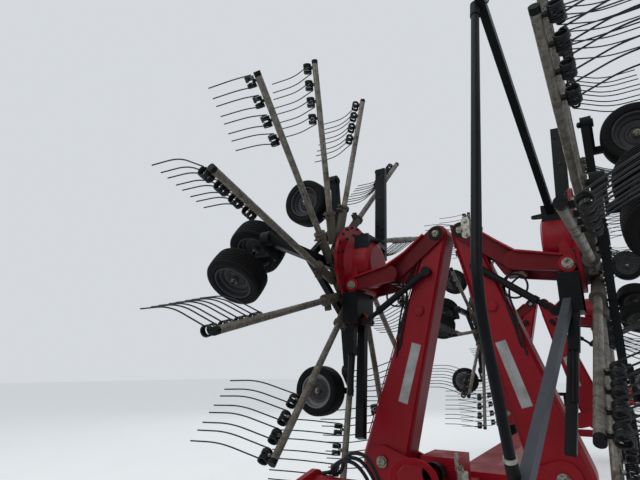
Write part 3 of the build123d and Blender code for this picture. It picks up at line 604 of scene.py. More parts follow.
def add_object(name, data):
    """Puts an object with its data into the scene."""
    made = bpy.data.objects.new(name, data)
    bpy.context.collection.objects.link(made)
    return made


def piece(shell, name, finish, sharp=35.0):
    """Turns a shell into an object with outward normals and edges kept crisp."""
    mesh = bpy.data.meshes.new(name)
    mesh.from_pydata([tuple(v) for v in shell.verts], [], shell.faces)
    work = bmesh.new()
    work.from_mesh(mesh)
    bmesh.ops.recalc_face_normals(work, faces=work.faces)
    for face in work.faces:
        face.smooth = True
    for edge in work.edges:
        if len(edge.link_faces) == 2 and edge.calc_face_angle(0.0) > radians(sharp):
            edge.smooth = False
    work.to_mesh(mesh)
    work.free()
    mesh.materials.append(MATERIALS[finish])
    return add_object(name, mesh)


def single(shell, name, finish, body, sharp=35.0):
    """Makes a piece that is already in the machine's frame, and rides it."""
    made = piece(shell, name, finish, sharp)
    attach(made, body)
    return made


def placed(shell, rotor, name, finish, body):
    """Moves a right hand shell from the hub axis to its rotor, mirrors it for the left, and rides it."""
    hub_y, sign = ROTORS[rotor]
    moved = Shell()
    moved.verts = [Vector((sign * v.x, v.y + hub_y, v.z + HUB_Z)) for v in shell.verts]
    moved.faces = shell.faces
    return single(moved, name, finish, body)


# Node trees that repeat a form


def repeat_tree(name, polar):
    """A tree that copies a form round the X axis, or along a row, and makes the copies real."""
    tree = bpy.data.node_groups.new(name, "GeometryNodeTree")
    sockets = {}
    for label, kind in (
        ("Form", "NodeSocketGeometry"),
        ("Count", "NodeSocketInt"),
        ("Start", "NodeSocketFloat"),
        ("Step", "NodeSocketFloat"),
        ("Finish", "NodeSocketMaterial"),
    ):
        sockets[label] = tree.interface.new_socket(label, in_out="INPUT", socket_type=kind).identifier
    tree.interface.new_socket("Form", in_out="OUTPUT", socket_type="NodeSocketGeometry")
    given = tree.nodes.new("NodeGroupInput").outputs
    line = put(tree, "GeometryNodeMeshLine", {"Count": given["Count"], "Offset": (0.0, 0.0, 0.0)})
    index = put(tree, "GeometryNodeInputIndex")
    values = {0: index, 1: given["Step"], 2: given["Start"]}
    value = put(tree, "ShaderNodeMath", values, operation="MULTIPLY_ADD")
    vector = put(tree, "ShaderNodeCombineXYZ", {"X" if polar else "Z": value})
    if polar:
        turn = put(tree, "FunctionNodeEulerToRotation", {0: vector})
        placing = {"Points": line, "Instance": given["Form"], "Rotation": turn}
    else:
        row = put(tree, "GeometryNodeSetPosition", {"Geometry": line, "Position": vector})
        placing = {"Points": row, "Instance": given["Form"]}
    copies = put(tree, "GeometryNodeInstanceOnPoints", placing)
    real = put(tree, "GeometryNodeRealizeInstances", {0: copies})
    coated = put(tree, "GeometryNodeSetMaterial", {"Geometry": real, "Material": given["Finish"]})
    put(tree, "NodeGroupOutput", {0: coated})
    return tree, sockets


TREES = {}


def repeated(shell, kind, count, start, step, finish):
    """Runs a repeat tree on a shell and returns the copies as a new shell."""
    if kind not in TREES:
        TREES[kind] = repeat_tree(f"{kind} copies", kind == "Polar")
    tree, sockets = TREES[kind]
    seed = piece(shell, "seed", finish)
    modifier = seed.modifiers.new("Copies", "NODES")
    modifier.node_group = tree
    modifier[sockets["Count"]] = count
    modifier[sockets["Start"]] = start
    modifier[sockets["Step"]] = step
    modifier[sockets["Finish"]] = MATERIALS[finish]
    evaluated = seed.evaluated_get(bpy.context.evaluated_depsgraph_get())
    mesh = bpy.data.meshes.new_from_object(evaluated)
    copies = Shell()
    copies.verts = [v.co.copy() for v in mesh.vertices]
    copies.faces = [list(p.vertices) for p in mesh.polygons]
    bpy.data.meshes.remove(mesh)
    old = seed.data
    bpy.data.objects.remove(seed)
    bpy.data.meshes.remove(old)
    return copies


def bolt_ring(head, across, radius, way, count, start, finish="dark fastener"):
    """A ring of fasteners round the X axis, on a face that looks outwards or inwards."""
    one = Shell().join(head, facing_x((across, radius, 0), way))
    return repeated(one, "Polar", count, start, tau / count, finish)


# Rotor arms, tines and coils


def arm_frame():
    """Placing of an arm whose tip is level with the hub: Z from root to tip, X outwards. And its length."""
    lag = radians(-ARM_LAG)
    root = Vector((ARM_ROOT[0], -ARM_ROOT[1] * cos(lag), ARM_ROOT[1] * sin(lag)))
    run = Vector((ARM_TIP[0], -ARM_TIP[1], 0.0)) - root
    return frame_matrix(root, run, (1, 0, 0)), run.length


def tine_path(sizes, shift):
    """Centre line of one tine from its coil: out and leaning, then bent straight outwards."""
    bend = 0.10
    start = Vector((sizes.coil_offset, sizes.coil_radius))
    knee = start + Vector((cos(sizes.tine_lean), sin(sizes.tine_lean))) * sizes.tine_knee
    before = start.lerp(knee, 1.0 - bend / sizes.tine_knee)
    after = knee + Vector((bend, 0.0))
    end = Vector((sizes.tine_reach, knee.y))
    line = [start, start.lerp(before, 0.5), before]
    line += [bent(before, knee, after, step / 7) for step in range(1, 7)]
    line += [after, after.lerp(end, 0.5), end]
    return [(p.x, p.y, shift) for p in line]


def coil_path(sizes, shift, outwards):
    """Centre line of one spring coil beside the arm, ending where its tine leaves."""
    turn_steps = 12
    pitch = sizes.wire * 1.06
    points = []
    for step in range(round(sizes.coil_turns * turn_steps) + 1):
        angle = pi / 2 + outwards * tau * step / turn_steps
        along = shift + outwards * pitch * step / turn_steps
        across = sizes.coil_offset + sizes.coil_radius * cos(angle)
        points.append((across, sizes.coil_radius * sin(angle), along))
    return points


class RakeSizes(bpy.types.PropertyGroup):
    """Sizes of the spring tines, tyres and fasteners."""

    wire: FloatProperty(
        name="Tine wire", description="Diameter of the spring wire", default=0.0093, unit="LENGTH"
    )
    coil_radius: FloatProperty(
        name="Coil radius", description="Coil centre to wire centre", default=0.0301, unit="LENGTH"
    )
    coil_offset: FloatProperty(
        name="Coil offset", description="Arm centre to coil centre", default=0.074, unit="LENGTH"
    )
    coil_turns: FloatProperty(
        name="Coil turns", description="Turns in each spring coil", default=3.5, min=1.0
    )
    tine_knee: FloatProperty(
        name="Tine knee", description="Coil to bend along the tine", default=0.265, unit="LENGTH"
    )
    tine_lean: FloatProperty(
        name="Tine lean", description="Lean of the tine's first part", default=radians(28.0), subtype="ANGLE"
    )
    tine_reach: FloatProperty(
        name="Tine reach", description="Arm centre to tine tip", default=0.545, unit="LENGTH"
    )
    pair_pitch: FloatProperty(
        name="Pair pitch", description="Spacing of the tine pairs", default=0.141, unit="LENGTH"
    )
    pair_gap: FloatProperty(
        name="Pair gap", description="Spacing of the two tines of a pair", default=0.080, unit="LENGTH"
    )
    arm_radius: FloatProperty(
        name="Arm radius", description="Radius of the arm tube", default=0.024, unit="LENGTH"
    )
    tread_steps: IntProperty(
        name="Tread steps", description="Segments round a small tyre", default=84, min=24
    )
    bolt_across: FloatProperty(
        name="Bolt head", description="Width across flats of a flange bolt", default=0.018, unit="LENGTH"
    )


class RakeLooks(bpy.types.PropertyGroup):
    """Colours that a user would change."""

    red: StringProperty(name="Red", description="Enamel colour as sRGB hex", default="#860A1A")
    red_faded: StringProperty(name="Faded red", description="Sun faded enamel as sRGB hex", default="#760A17")


class RAKE_OT_finishes(bpy.types.Operator):
    """Makes the materials and gives each kept solid its own finish"""

    bl_idname = "rake.finishes"
    bl_label = "Finishes"

    def execute(self, context):
        build_materials(context.scene.rake_looks)
        for finish, starts in SOLID_FINISHES.items():
            for name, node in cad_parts.items():
                if name.startswith(starts):
                    node.data.materials.clear()
                    node.data.materials.append(MATERIALS[finish])
        return {"FINISHED"}


class RAKE_OT_arms(bpy.types.Operator):
    """Builds the galvanised arms, the spring coils and the bent tines of every rotor"""

    bl_idname = "rake.arms"
    bl_label = "Arms and tines"

    def execute(self, context):
        sizes = context.scene.rake_sizes
        place, length = arm_frame()
        line = [(0, 0, z) for z in (0.015, 0.3, 0.6, 0.9, length + TUBE_END)]
        tube = Shell().add(*sweep(line, sizes.arm_radius, 20), place)
        pair = Shell()
        for outwards in (-1, 1):
            shift = outwards * sizes.pair_gap / 2
            pair.add(*sweep(tine_path(sizes, shift), sizes.wire / 2, 7))
            pair.add(*sweep(coil_path(sizes, shift, -outwards), sizes.wire / 2, 6))
        clamp = Shell().add(*box((0.020, -0.013, -0.008), (0.052, 0.013, 0.008), 0.0))
        screw = Shell().join(bolt(0.015, 0.010, 0.011), facing_y((0.036, 0.0125, 0.0)))
        innermost = length - PAIR_SETBACK - (PAIR_COUNT - 1) * sizes.pair_pitch
        pairs, clamps, screws = (
            repeated(form, "Row", PAIR_COUNT, innermost, sizes.pair_pitch, finish)
            for form, finish in ((pair, "spring"), (clamp, "polymer"), (screw, "fastener"))
        )
        clamps.add(*sweep([(0, 0, length + end) for end in CAP_ENDS], sizes.arm_radius + 0.0006, 20))
        ears = Shell()
        for low in (0.014, 0.046):
            ears.add(*box((-0.020, -0.082, low), (0.020, -0.030, low + 0.011)))
        ears.join(bolt(0.017, 0.012, 0.012), Matrix.Translation((0.0, -0.062, 0.057)))
        for row in (pairs, clamps, screws, ears):
            row.verts = [place @ v for v in row.verts]
        for rotor in ROTORS:
            start = -radians(ARM_PHASE[rotor])
            for label, form, finish in (
                ("arm_tubes", tube, "galvanised"),
                ("spring_tines", pairs, "spring"),
                ("tine_clamps", clamps, "polymer"),
                ("clamp_screws", screws, "fastener"),
                ("socket_ears", ears, "casting"),
            ):
                wheel = repeated(form, "Polar", ARM_COUNT, start, -tau / ARM_COUNT, finish)
                made = placed(wheel, rotor, f"{label}_{rotor}", finish, f"rotor_{rotor}")
                if label == "arm_tubes":
                    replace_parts(made, f"tine_arms_{rotor}")
        return {"FINISHED"}


# Wheels


def tyre_profile(radius, width, rim):
    """Outside and inside of a tyre across X, with six grooves in its tread."""
    half, wall = width / 2, radius - rim
    left = [(-half * 0.80, rim), (-half * 0.95, rim + wall * 0.18), (-half, (rim + radius) / 2)]
    left += [(-half * 0.97, rim + wall * 0.74)]
    left += [(-half * 0.90, radius * 0.955), (-half * 0.80, radius * 0.982)]
    depth = radius * 0.030
    tread = []
    for groove in (-0.62, -0.37, -0.12, 0.12, 0.37, 0.62):
        top = radius * (1.0 - 0.030 * groove * groove)
        for shift, cut in ((-0.055, 0.0), (-0.034, depth), (0.034, depth), (0.055, 0.0)):
            tread.append((half * (groove + shift), top - cut))
    right = [(-x, r) for x, r in reversed(left)]
    return left + tread + right + [(half * 0.72, rim * 0.985), (-half * 0.72, rim * 0.985)]


def rim_profile(width, rim):
    """A wheel rim across X with a rolled edge and a stepped well."""
    edge = width * 0.40
    rolled = ((-0.004, 1.035), (-0.010, 1.00), (-0.008, 0.93), (0.0, 0.90))
    well = ((0.022, 0.875), (0.026, 0.80), (0.032, 0.75))
    outer = [(shift - edge, rim * share) for shift, share in rolled + well] + [(-edge * 0.35, rim * 0.71)]
    back = [(edge * 0.5, rim * 0.99), (-edge * 0.5, rim * 0.99)]
    return outer + [(-x, r) for x, r in reversed(outer)] + back


def disc_profile(width, rim, hub):
    """A dished wheel disc across X with a pressed ring round its hub."""
    dish = width * 0.10
    ring = ((0.006, 0.73), (0.004, 0.62), (0.0, 0.52), (0.008, 0.46), (0.012, 0.38), (0.004, 0.32))
    outer = [(-dish - shift, rim * share) for shift, share in ring] + [(-dish - 0.014, hub)]
    return outer + [(-x, r) for x, r in reversed(outer)]


def wheel_shells(size, steps):
    """Tyre, rim, disc and nut shells of one wheel on the X axis."""
    radius, width, rim, hub, cap, (count, ring, lift, nut_across), lug = size
    profile = tyre_profile(radius, width, rim)
    tread = range(5, len(profile) - 7)

    def blocks(step, index, across, r):
        """Cuts the outer tread down at every third step, which leaves lugs."""
        cut = step % 3 == 0 and index in tread and abs(across) > width * 0.10
        return across, r - radius * lug * cut

    tyre = Shell().add(*lathe(profile, steps, blocks))
    band = Shell().add(*lathe(rim_profile(width, rim), 64))
    disc = Shell().add(*lathe(disc_profile(width, rim, hub), 64))
    nuts = Shell()
    web = width * 0.10 + 0.012
    shoulder = cap * 0.68
    head = bolt(nut_across, nut_across * 0.68, nut_across * 0.74)
    for way in (-1, 1):
        for low, high, cap_r in ((0.0, shoulder, hub * 1.5), (shoulder, cap, hub * 1.2)):
            disc.add(*prism(circle(cap_r, 24), low, high, 0.003), facing_x((way * web, 0, 0), way))
        nuts.join(bolt_ring(head, way * (web + lift), ring, way, count, 0.0, "fastener"))
    return {"tyres": tyre, "rims": band, "discs": disc, "wheel_nuts": nuts}


def mount_wheels(shells, places, name, body, rim_finish):
    """Makes the four pieces of a wheel, or of twin wheels, and hides the plain one."""
    finishes = {"tyres": "tyre", "rims": rim_finish, "discs": "disc", "wheel_nuts": "fastener"}
    for label, finish in finishes.items():
        shell = Shell()
        for place in places:
            shell.join(shells[label], place)
        made = single(shell, f"{label}_{name}", finish, body, 30.0)
        if label == "tyres":
            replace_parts(made, body)


class RAKE_OT_wheels(bpy.types.Operator):
    """Builds tyres with tread, dished rims and wheel nuts for every castor and the road axle"""

    bl_idname = "rake.wheels"
    bl_label = "Wheels"

    def execute(self, context):
        small = wheel_shells(SMALL_WHEEL, context.scene.rake_sizes.tread_steps)
        large = wheel_shells(ROAD_WHEEL, ROAD_TREAD_STEPS)
        for rotor, (hub_y, sign) in ROTORS.items():
            for which, (pivot_y, pivot_z, fall) in CASTORS.items():
                away = Vector((0, cos(radians(fall)), -sin(radians(fall))))
                axis = Vector((0, sin(radians(fall)), cos(radians(fall))))
                centre = Vector((sign * (CASTOR_X + WHEEL_DROP), hub_y + pivot_y, pivot_z)) + away * TRAIL
                offsets = (-TWIN_OFFSET, TWIN_OFFSET) if which == "nose" else (0.0,)
                places = [frame_matrix(centre + axis * offset, away, axis) for offset in offsets]
                # Nose and outer wheels get the rim darkened as painted shade, inner wheels the plain rim
                rims = "rim" if which == "inner" else "shade darkened rim"
                mount_wheels(small, places, f"{which}_{rotor}", f"{which}_wheel_{rotor}", rims)
        for side, sign in SIDES.items():
            place = Matrix.Translation((sign * ROAD_WHEEL_X, ROAD_AXLE_Y, ROAD_WHEEL[0]))
            mount_wheels(large, [place], f"road_{side}", f"road_wheel_{side}", "rim")
        return {"FINISHED"}


# Fasteners, covers and pins


def head_covers(head):
    """Black covers over a rotor head's lower block and legs, with the ram's lug."""
    covers = Shell().add(*box((BLOCK_FACE, -0.2605, -0.4905), (FLANGE_BACK, 0.0205, -0.2495)))
    for z in (-0.4700, -0.2700):
        for y in (-0.2350, -0.0050):
            covers.join(head, facing_x((BLOCK_FACE, y, z), -1))
    for top, foot, share in LEGS:
        run = foot - top
        covers.add(*square_bar(top, top + run * (share + 0.002), 0.0612, 0.0612, 0.0008))
        covers.add(*sweep([top, top + run * 0.5, top + run * 1.001], 0.0225, 20))
    arc = [radians(80 + 20 * i) for i in range(11)]
    lug = [(LOWER_EYE[0] + 0.0325 * cos(a), LOWER_EYE[1] + 0.0325 * sin(a)) for a in arc]
    lug += [(0.690, -0.4955), (0.690, -0.4045)]
    return covers.add(*prism(lug, -0.1755, -0.1445), ON_EDGE)


class RAKE_OT_heads(bpy.types.Operator):
    """Adds bolts, covers, ram sleeves, pivot fasteners, post bolts and the knuckle's link plate"""

    bl_idname = "rake.heads"
    bl_label = "Rotor heads and pivots"

    def execute(self, context):
        head = bolt(context.scene.rake_sizes.bolt_across, 0.013, 0.014)
        flange_bolts = bolt_ring(head, FLANGE_BACK, 0.332, -1, 22, 0.1)
        flange_bolts.join(bolt_ring(head, FLANGE_BACK, 0.268, -1, 12, 0.2))
        carrier_nuts = bolt_ring(bolt(0.019, 0.013, 0.015), CARRIER_FACE, 0.225, 1, 12, 0.13)
        chassis = bolt_ring(bolt(0.019, 0.012, 0.015), CHASSIS_FACE, 0.108, 1, 8, 0.2)
        chassis.add(*prism(circle(0.062, 28), 0.0, 0.014, 0.004), facing_x((CHASSIS_FACE, 0, 0)))
        covers = head_covers(head)
        ram, caps, pins, feet, studs, link = (Shell() for _ in range(6))
        for shares, radius, sides in (
            ((0.0, 0.4, 0.7805), 0.0245, 24),
            ((0.745, 0.795), 0.0285, 24),
            ((0.79, 0.99), 0.0173, 20),
        ):
            ram.add(*sweep([RAM_TOP.lerp(RAM_FOOT, share) for share in shares], radius, sides))
        for shell, radius, sides, centre, low, high, ease in (
            (ram, 0.0305, 24, LOWER_EYE, -0.2153, -0.1753, 0.002),
            (ram, 0.0365, 24, UPPER_EYE, -0.1623, -0.1103, 0.002),
            (caps, 0.052, 28, KNUCKLE, -0.1375, -0.1332, 0.001),
            (caps, 0.052, 28, KNUCKLE, 0.1332, 0.1375, 0.001),
        ):
            shell.add(*prism(circle(radius, sides, centre), low, high, ease), ON_EDGE)
        for way in (-1, 1):
            for shell, nut, (x, z), y in (
                (pins, bolt(0.036, 0.014, 0.026), BOOM_TOP, 0.1425),
                (pins, bolt(0.046, 0.012, 0.034), TRUNNION, 0.2255),
                (feet, bolt(0.055, 0.020, 0.040), BOOM_FOOT, 0.152),
            ):
                shell.join(nut, facing_y((x, way * y, z - HUB_Z), way))
        for rotor in ROTORS:
            boom = f"boom_{rotor}"
            for label, shell, finish, body in (
                ("flange_bolts", flange_bolts, "dark fastener", boom),
                ("carrier_nuts", carrier_nuts, "dark fastener", f"rotor_{rotor}"),
                ("head_covers", covers, "black", boom),
                ("chassis_bolts", chassis, "dark fastener", boom),
                ("fold_rams", ram, "polymer", boom),
                ("knuckle_caps", caps, "black", boom),
                ("boom_pins", pins, "fastener", boom),
                ("pivot_nuts", feet, "fastener", "frame"),
            ):
                placed(shell, rotor, f"{label}_{rotor}", finish, body)
            for which, (pivot_y, pivot_z, _) in CASTORS.items():
                height = pivot_z - HUB_Z
                cap = Shell().join(bolt(0.030, 0.008, 0.028), facing_x((CASTOR_BACK, pivot_y, height), -1))
                outside = facing_x((CASTOR_X + 0.0182, pivot_y, height))
                cap.add(*prism(circle(0.030, 24), 0.0, 0.010, 0.003), outside)
                castor = f"{which}_castor_{rotor}"
                placed(cap, rotor, f"{which}_pivot_cap_{rotor}", "dark fastener", castor)
        lean = frame_matrix((0.745, 0.330, 0.110), (0.033, 0.150, 0.940), (1, 0, 0))
        for across, up in POST_BOLTS:
            studs.join(bolt(0.017, 0.009, 0.012), lean @ facing_y((across, -0.0252, up), -1))
        for side in SIDES:
            placed(studs, f"front_{side}", f"post_bolts_{side}", "dark fastener", f"boom_front_{side}")
        for z in (2.440, 2.540):
            link.join(bolt(0.024, 0.012, 0.017), facing_y((0.134, -0.1405, z - HUB_Z), -1))
        plate = circle(0.030, 20, (0.134, 0.210))[:11] + circle(0.030, 20, (0.134, 0.110))[10:20]
        link.add(*prism(plate, -0.1410, -0.1335, 0.001), ON_EDGE)
        placed(link, "front_right", "knuckle_link_front_right", "zinc", "boom_front_right")
        return {"FINISHED"}


# Booms, hoses and guard


def hose_curve(name, points, diameter, body):
    """A hose on one smooth line through its control points."""
    data = bpy.data.curves.new(name, "CURVE")
    data.dimensions = "3D"
    data.bevel_depth = diameter / 2
    data.bevel_resolution = 3
    data.resolution_u = 10
    data.use_fill_caps = True
    spline = data.splines.new("NURBS")
    spline.points.add(len(points) - 1)
    for point, place in zip(spline.points, points):
        point.co = (*place, 1.0)
    spline.order_u = 3
    spline.use_endpoint_u = True
    data.materials.append(MATERIALS["hose"])
    made = add_object(name, data)
    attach(made, body)
    bare = data.copy()
    bare.bevel_depth = 0.0
    probe = bpy.data.objects.new("probe", bare)
    line = bpy.data.meshes.new_from_object(probe)
    bpy.data.meshes.remove(line)
    bpy.data.objects.remove(probe)
    bpy.data.curves.remove(bare)


def on_boom(step, sideways, lift):
    """A point on a boom's front face: metres up from its pivot, sideways from its line, and proud of it."""
    foot = Vector(BOOM_FOOT)
    along = (Vector(BOOM_TOP) - foot).normalized()
    point = foot + along * step + Vector((along.y, -along.x)) * sideways
    return Vector((point.x, BOOM_FACE - lift, point.y - HUB_Z))


def neck_flange(way):
    """The flat strip on the top edge of one gooseneck plate."""
    rings = []
    for index, (x, z, near, far) in enumerate(NECK_EDGE):
        before = NECK_EDGE[max(index - 1, 0)]
        after = NECK_EDGE[min(index + 1, len(NECK_EDGE) - 1)]
        run = Vector((after[0] - before[0], after[1] - before[1])).normalized()
        corners = ((-0.0015, near), (-0.0015, far), (0.0105, far), (0.0105, near))
        rings.append([(x - run.y * lift, way * y, z + run.x * lift - HUB_Z) for lift, y in corners])
    return skin(rings)


class RAKE_OT_booms(bpy.types.Operator):
    """Adds weld beads, blank bands, gooseneck flanges with eye rings, slide covers and hoses"""

    bl_idname = "rake.booms"
    bl_label = "Boom details"

    def execute(self, context):
        corners = [(0.43, -0.074), (0.43, -0.004), (0.86, -0.004), (0.86, -0.074)]
        verts = [on_boom(*corner, lift) for lift in (0.0002, 0.0012) for corner in corners]
        faces = [(0, 1, 2, 3), (7, 6, 5, 4)]
        faces += [(i, (i + 1) % 4, (i + 1) % 4 + 4, i + 4) for i in range(4)]
        band = Shell().add(verts, faces)
        beads, flanges, cover = Shell(), Shell(), Shell()
        for way in (-1, 1):
            line = []
            for step in range(60):
                t = step / 59
                ripple = 0.0008 if step % 2 else -0.0010
                line.append(on_boom(0.14 + 1.40 * t, way * (0.1615 - 0.0780 * t), ripple))
            beads.add(*sweep(line, 0.004, 6))
            flanges.add(*neck_flange(way))
            eye = facing_y((TRUNNION[0], way * 0.2135, TRUNNION[1] - HUB_Z), way)
            flanges.add(*prism(circle(0.055, 32), 0.0, 0.0115, 0.002), eye)
        cover.add(*prism(circle(0.032, 32), 0.0, 0.004, 0.001), facing_y((0.260, -0.124, 1.920 - HUB_Z), -1))
        for rotor, (hub_y, sign) in ROTORS.items():
            body = f"boom_{rotor}"
            for label, shell, finish in (
                ("blank_band", band, "film"),
                ("boom_welds", beads, "red"),
                ("neck_flanges", flanges, "red"),
                ("slide_cover", cover, "red"),
            ):
                placed(shell, rotor, f"{label}_{rotor}", finish, body)
            for index, route in enumerate(BOOM_HOSES):
                points = [(sign * x, hub_y + y, z) for x, y, z in route]
                hose_curve(f"boom_hose_{rotor}_{index}", points, BOOM_HOSE_THICK, body)
        return {"FINISHED"}


class RAKE_OT_guard(bpy.types.Operator):
    """Builds the bent front guard pipe with its bars, sleeves, ring and bolts"""

    bl_idname = "rake.guard"
    bl_label = "Front guard"

    def execute(self, context):
        body = "boom_front_right"
        top, knee, bend, foot = (Vector((GUARD_X, FRONT_Y + y, HUB_Z + z)) for y, z in GUARD_PATH)
        pipe = Shell().add(*sweep(rounded([top, knee, bend, foot], 0.075), 0.021, 24))
        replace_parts(single(pipe, "guard_pipe", "guard", body), "guard_front_right")
        for label, (x, y, z), end, finish in (
            ("guard_upper_bar", (0.700, -0.100, 0.165), top, "guard"),
            ("guard_lower_bar", (0.740, -0.190, -0.405), foot, "blue grey"),
        ):
            root = Vector((x, FRONT_Y + y, HUB_Z + z))
            tip = Vector((end.x + 0.032, end.y, end.z))
            run = (tip - root).normalized()
            bar = Shell().add(*square_bar(root + run * 0.02, tip + run * 0.040, 0.044, 0.070))
            single(bar, label, finish, body)
        away = (foot - bend).normalized()
        down = (knee - top).normalized()
        sleeves = Shell().add(*sweep([foot - away * 0.100, foot + away * 0.002], 0.0255, 24))
        sleeves.add(*sweep([top + down * 0.10, top], 0.0255, 24))
        single(sleeves, "guard_sleeves", "polymer", body)
        ring = Shell().add(*sweep([foot - away * 0.120, foot - away * 0.102], 0.0262, 24))
        single(ring, "guard_ring", "zinc", body)
        ends = Shell()
        for at in (top, foot):
            ends.join(bolt(0.024, 0.014, 0.018), facing_x((at.x + 0.0535, at.y, at.z)))
        single(ends, "guard_bolts", "fastener", body)
        return {"FINISHED"}


# Hitch end and lamps


def hose_hoop():
    """The arched plate beside the front hoses, with its foot."""
    plate = Shell()
    x, z = HOOP_MIDDLE
    rise = [pi * i / 24 for i in range(25)]
    outer = [(x + 0.135 * cos(a), z + 0.120 * sin(a)) for a in rise]
    inner = [(x + 0.100 * cos(a), z + 0.092 * sin(a)) for a in rise]
    for a0, a1, b0, b1 in zip(outer, outer[1:], inner, inner[1:]):
        corners = [(x, y, z) for y in HOOP_FACES for x, z in (a0, a1, b1, b0)]
        plate.add(corners, [(0, 1, 2, 3), (7, 6, 5, 4), (0, 4, 5, 1), (2, 6, 7, 3)])
    return plate.add(*box((-0.180, HOOP_FACES[0], 0.838), (0.090, HOOP_FACES[1], 0.930), 0.001))


class RAKE_OT_hitch(bpy.types.Operator):
    """Adds hoses, link pin sleeves, the shaft's guard cone, the arched plate and the jack's crank"""

    bl_idname = "rake.hitch"
    bl_label = "Hitch details"

    def execute(self, context):
        y = HITCH_Y - 0.180
        for index, (x, lift, back) in enumerate(FRONT_HOSES):
            points = [
                (x, y - 0.005 * index, 0.986),
                (x - 0.02, y - 0.05, 1.02 + lift),
                (x - 0.08, y - 0.09 - back, 1.05 + lift),
                (x - 0.16, y - 0.07 + back, 1.01 + lift),
                (x - 0.21, y - 0.01 + 0.012 * index, 0.995),
                (x - 0.26, y + 0.02 - 0.010 * index, 0.990),
            ]
            hose_curve(f"hose_{index}", points, FRONT_HOSE_THICK, "headstock")
        pins = Shell()
        for sign in SIDES.values():
            pins.add(*sweep([(sign * across, *LINK_PIN) for across in LINK_SLEEVE], 0.0187, 24))
            ring = prism(circle(0.030, 24), 0.0, 0.006, 0.001)
            pins.add(*ring, facing_x((sign * LINK_RING_X, *LINK_PIN), sign))
        single(pins, "link_pin_sleeves", "fastener", "headstock")
        turned = Matrix.Translation((0, FRONT_Y - 0.651, 0.950)) @ Matrix.Rotation(-pi / 2, 4, "Z")
        cone = Shell().add(*lathe(SHAFT_WALL, 36), turned)
        single(cone, "shaft_guard", "polymer", "frame")
        single(hose_hoop(), "hose_hoop", "red", "frame")
        crank = Shell()
        x, y = CRANK
        for line, radius, sides in (
            (((y, 0.9702), (y, 0.985), (y, 1.000)), 0.008, 12),
            (((y, 0.995), (y - 0.05, 0.995), (y - 0.095, 0.995)), 0.007, 12),
            (((y - 0.090, 0.990), (y - 0.090, 1.020), (y - 0.090, 1.075)), 0.011, 14),
        ):
            crank.add(*sweep([(x, *point) for point in line], radius, sides))
        single(crank, "jack_crank", "fastener", "jack")
        return {"FINISHED"}


class RAKE_OT_lamps(bpy.types.Operator):
    """Adds the striped boards' faces and the lenses at the back, and the side reflectors"""

    bl_idname = "rake.lamps"
    bl_label = "Lamps and boards"

    def execute(self, context):
        back = CAD_BOX[1][1]
        boards = Shell()
        lenses = {"red lens": Shell(), "amber lens": Shell()}
        for sign in SIDES.values():
            centre = sign * BOARD_X
            face = box((-0.205, -0.135, 0.0), (0.205, 0.135, 0.0012), 0.0)
            boards.add(*face, facing_y((centre, back - 0.0212, BOARD_Z), -1))
            for label, shift in (("red lens", 0.055), ("amber lens", -0.055)):
                place = facing_y((centre + shift, back - 0.0402, BOARD_Z), -1)
                lenses[label].add(*prism(circle(0.045, 28), 0.0, 0.020, 0.006), place)
        for sign in SIDES.values():
            for y in REFLECTORS_Y:
                plate = box((-0.045, -0.020, 0.0), (0.045, 0.020, 0.008))
                lenses["amber lens"].add(*plate, facing_x((sign * 0.1002, y, 0.760), sign))
        single(boards, "board_faces", "board", "frame")
        for label, shell in lenses.items():
            single(shell, label.replace(" ", "_"), label, "frame")
        return {"FINISHED"}


# Stage, panel and start


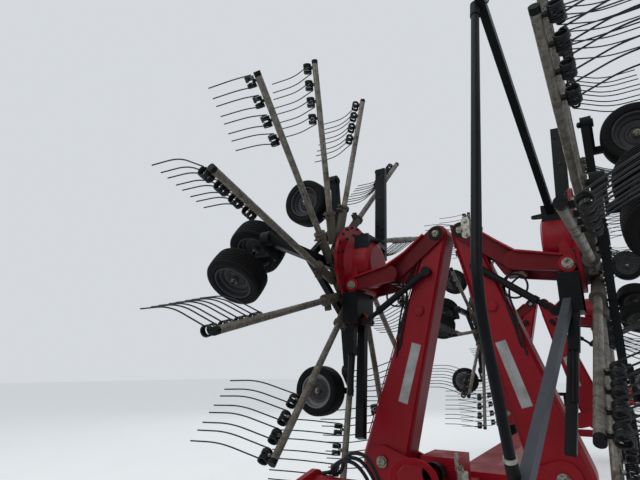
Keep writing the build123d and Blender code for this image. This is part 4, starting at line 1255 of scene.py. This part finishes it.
class RAKE_OT_stage(bpy.types.Operator):
    """Sets the pale floor, the soft lights and the camera at the photograph's viewpoint"""

    bl_idname = "rake.stage"
    bl_label = "Stage"

    def execute(self, context):
        scene = context.scene
        scene.view_settings.view_transform = "Standard"
        mesh = bpy.data.meshes.new("floor")
        corners = [(x * FLOOR_HALF, y * FLOOR_HALF, 0) for x, y in ((-1, -1), (1, -1), (1, 1), (-1, 1))]
        mesh.from_pydata(corners, [], [(0, 1, 2, 3)])
        floor = add_object("floor", mesh)
        material, tree, shader, where = start_material("Pale studio floor")
        grain = patches(tree, where, 900, 0.3, 0.7)
        feed(tree, shader, {"Base Color": coat(tree, "#E4E5E4", "#DEE0DF", grain), "Roughness": 0.9})
        lift = put(tree, "ShaderNodeMath", {0: seen_or_mirrored(tree), 1: 0.30}, operation="MULTIPLY")
        feed(tree, shader, {"Emission Color": linear("#E8EBEE"), "Emission Strength": lift})
        mesh.materials.append(material)
        world = bpy.data.worlds.new("Overcast")
        scene.world = world
        world.use_nodes = True
        tree = world.node_tree
        sky = tree.nodes["Background"]
        feed(tree, sky, {"Color": linear("#DDE3EA"), "Strength": 0.62})
        backdrop = put(tree, "ShaderNodeBackground", {"Color": linear("#D5D9DE"), "Strength": 1.0})
        mixed = put(tree, "ShaderNodeMixShader", {0: seen_or_mirrored(tree), 1: sky.outputs[0], 2: backdrop})
        feed(tree, tree.nodes["World Output"], {"Surface": mixed})
        for name, (place, width, power) in PANELS.items():
            light = bpy.data.lights.new(name, "AREA")
            light.size = width
            light.energy = power
            panel = add_object(name, light)
            panel.location = place
            panel.rotation_euler = (PANEL_AIM - Vector(place)).to_track_quat("-Z", "Y").to_euler()
        camera = bpy.data.cameras.new("camera")
        camera.lens = CAMERA_LENS
        camera.sensor_width = 36.0
        camera.clip_end = 200.0
        scene.camera = add_object("camera", camera)
        scene.camera.location = CAMERA_PLACE
        scene.camera.rotation_euler = (CAMERA_TILT, 0.0, CAMERA_TURN)
        return {"FINISHED"}


class RAKE_PT_panel(bpy.types.Panel):
    """Lists the rake's sizes and the steps that build its looks"""

    bl_idname = "RAKE_PT_panel"
    bl_label = "Folded rotary rake"
    bl_space_type = "VIEW_3D"
    bl_region_type = "UI"
    bl_category = "Rake"

    def draw(self, context):
        for group in (context.scene.rake_sizes, context.scene.rake_looks):
            for name in group.__annotations__:
                self.layout.prop(group, name)
        for step in STEPS:
            self.layout.operator(step.bl_idname)


STEPS = (
    RAKE_OT_finishes,
    RAKE_OT_arms,
    RAKE_OT_wheels,
    RAKE_OT_heads,
    RAKE_OT_booms,
    RAKE_OT_guard,
    RAKE_OT_hitch,
    RAKE_OT_lamps,
    RAKE_OT_stage,
)
CLASSES = (RakeSizes, RakeLooks, *STEPS, RAKE_PT_panel)


def register():
    for item in CLASSES:
        bpy.utils.register_class(item)
    bpy.types.Scene.rake_sizes = PointerProperty(type=RakeSizes)
    bpy.types.Scene.rake_looks = PointerProperty(type=RakeLooks)


def unregister():
    del bpy.types.Scene.rake_looks
    del bpy.types.Scene.rake_sizes
    for item in reversed(CLASSES):
        bpy.utils.unregister_class(item)


def main():
    register()
    for step in STEPS:
        group, name = step.bl_idname.split(".")
        getattr(getattr(bpy.ops, group), name)()
    bpy.context.view_layer.update()


if __name__ == "__main__":
    main()
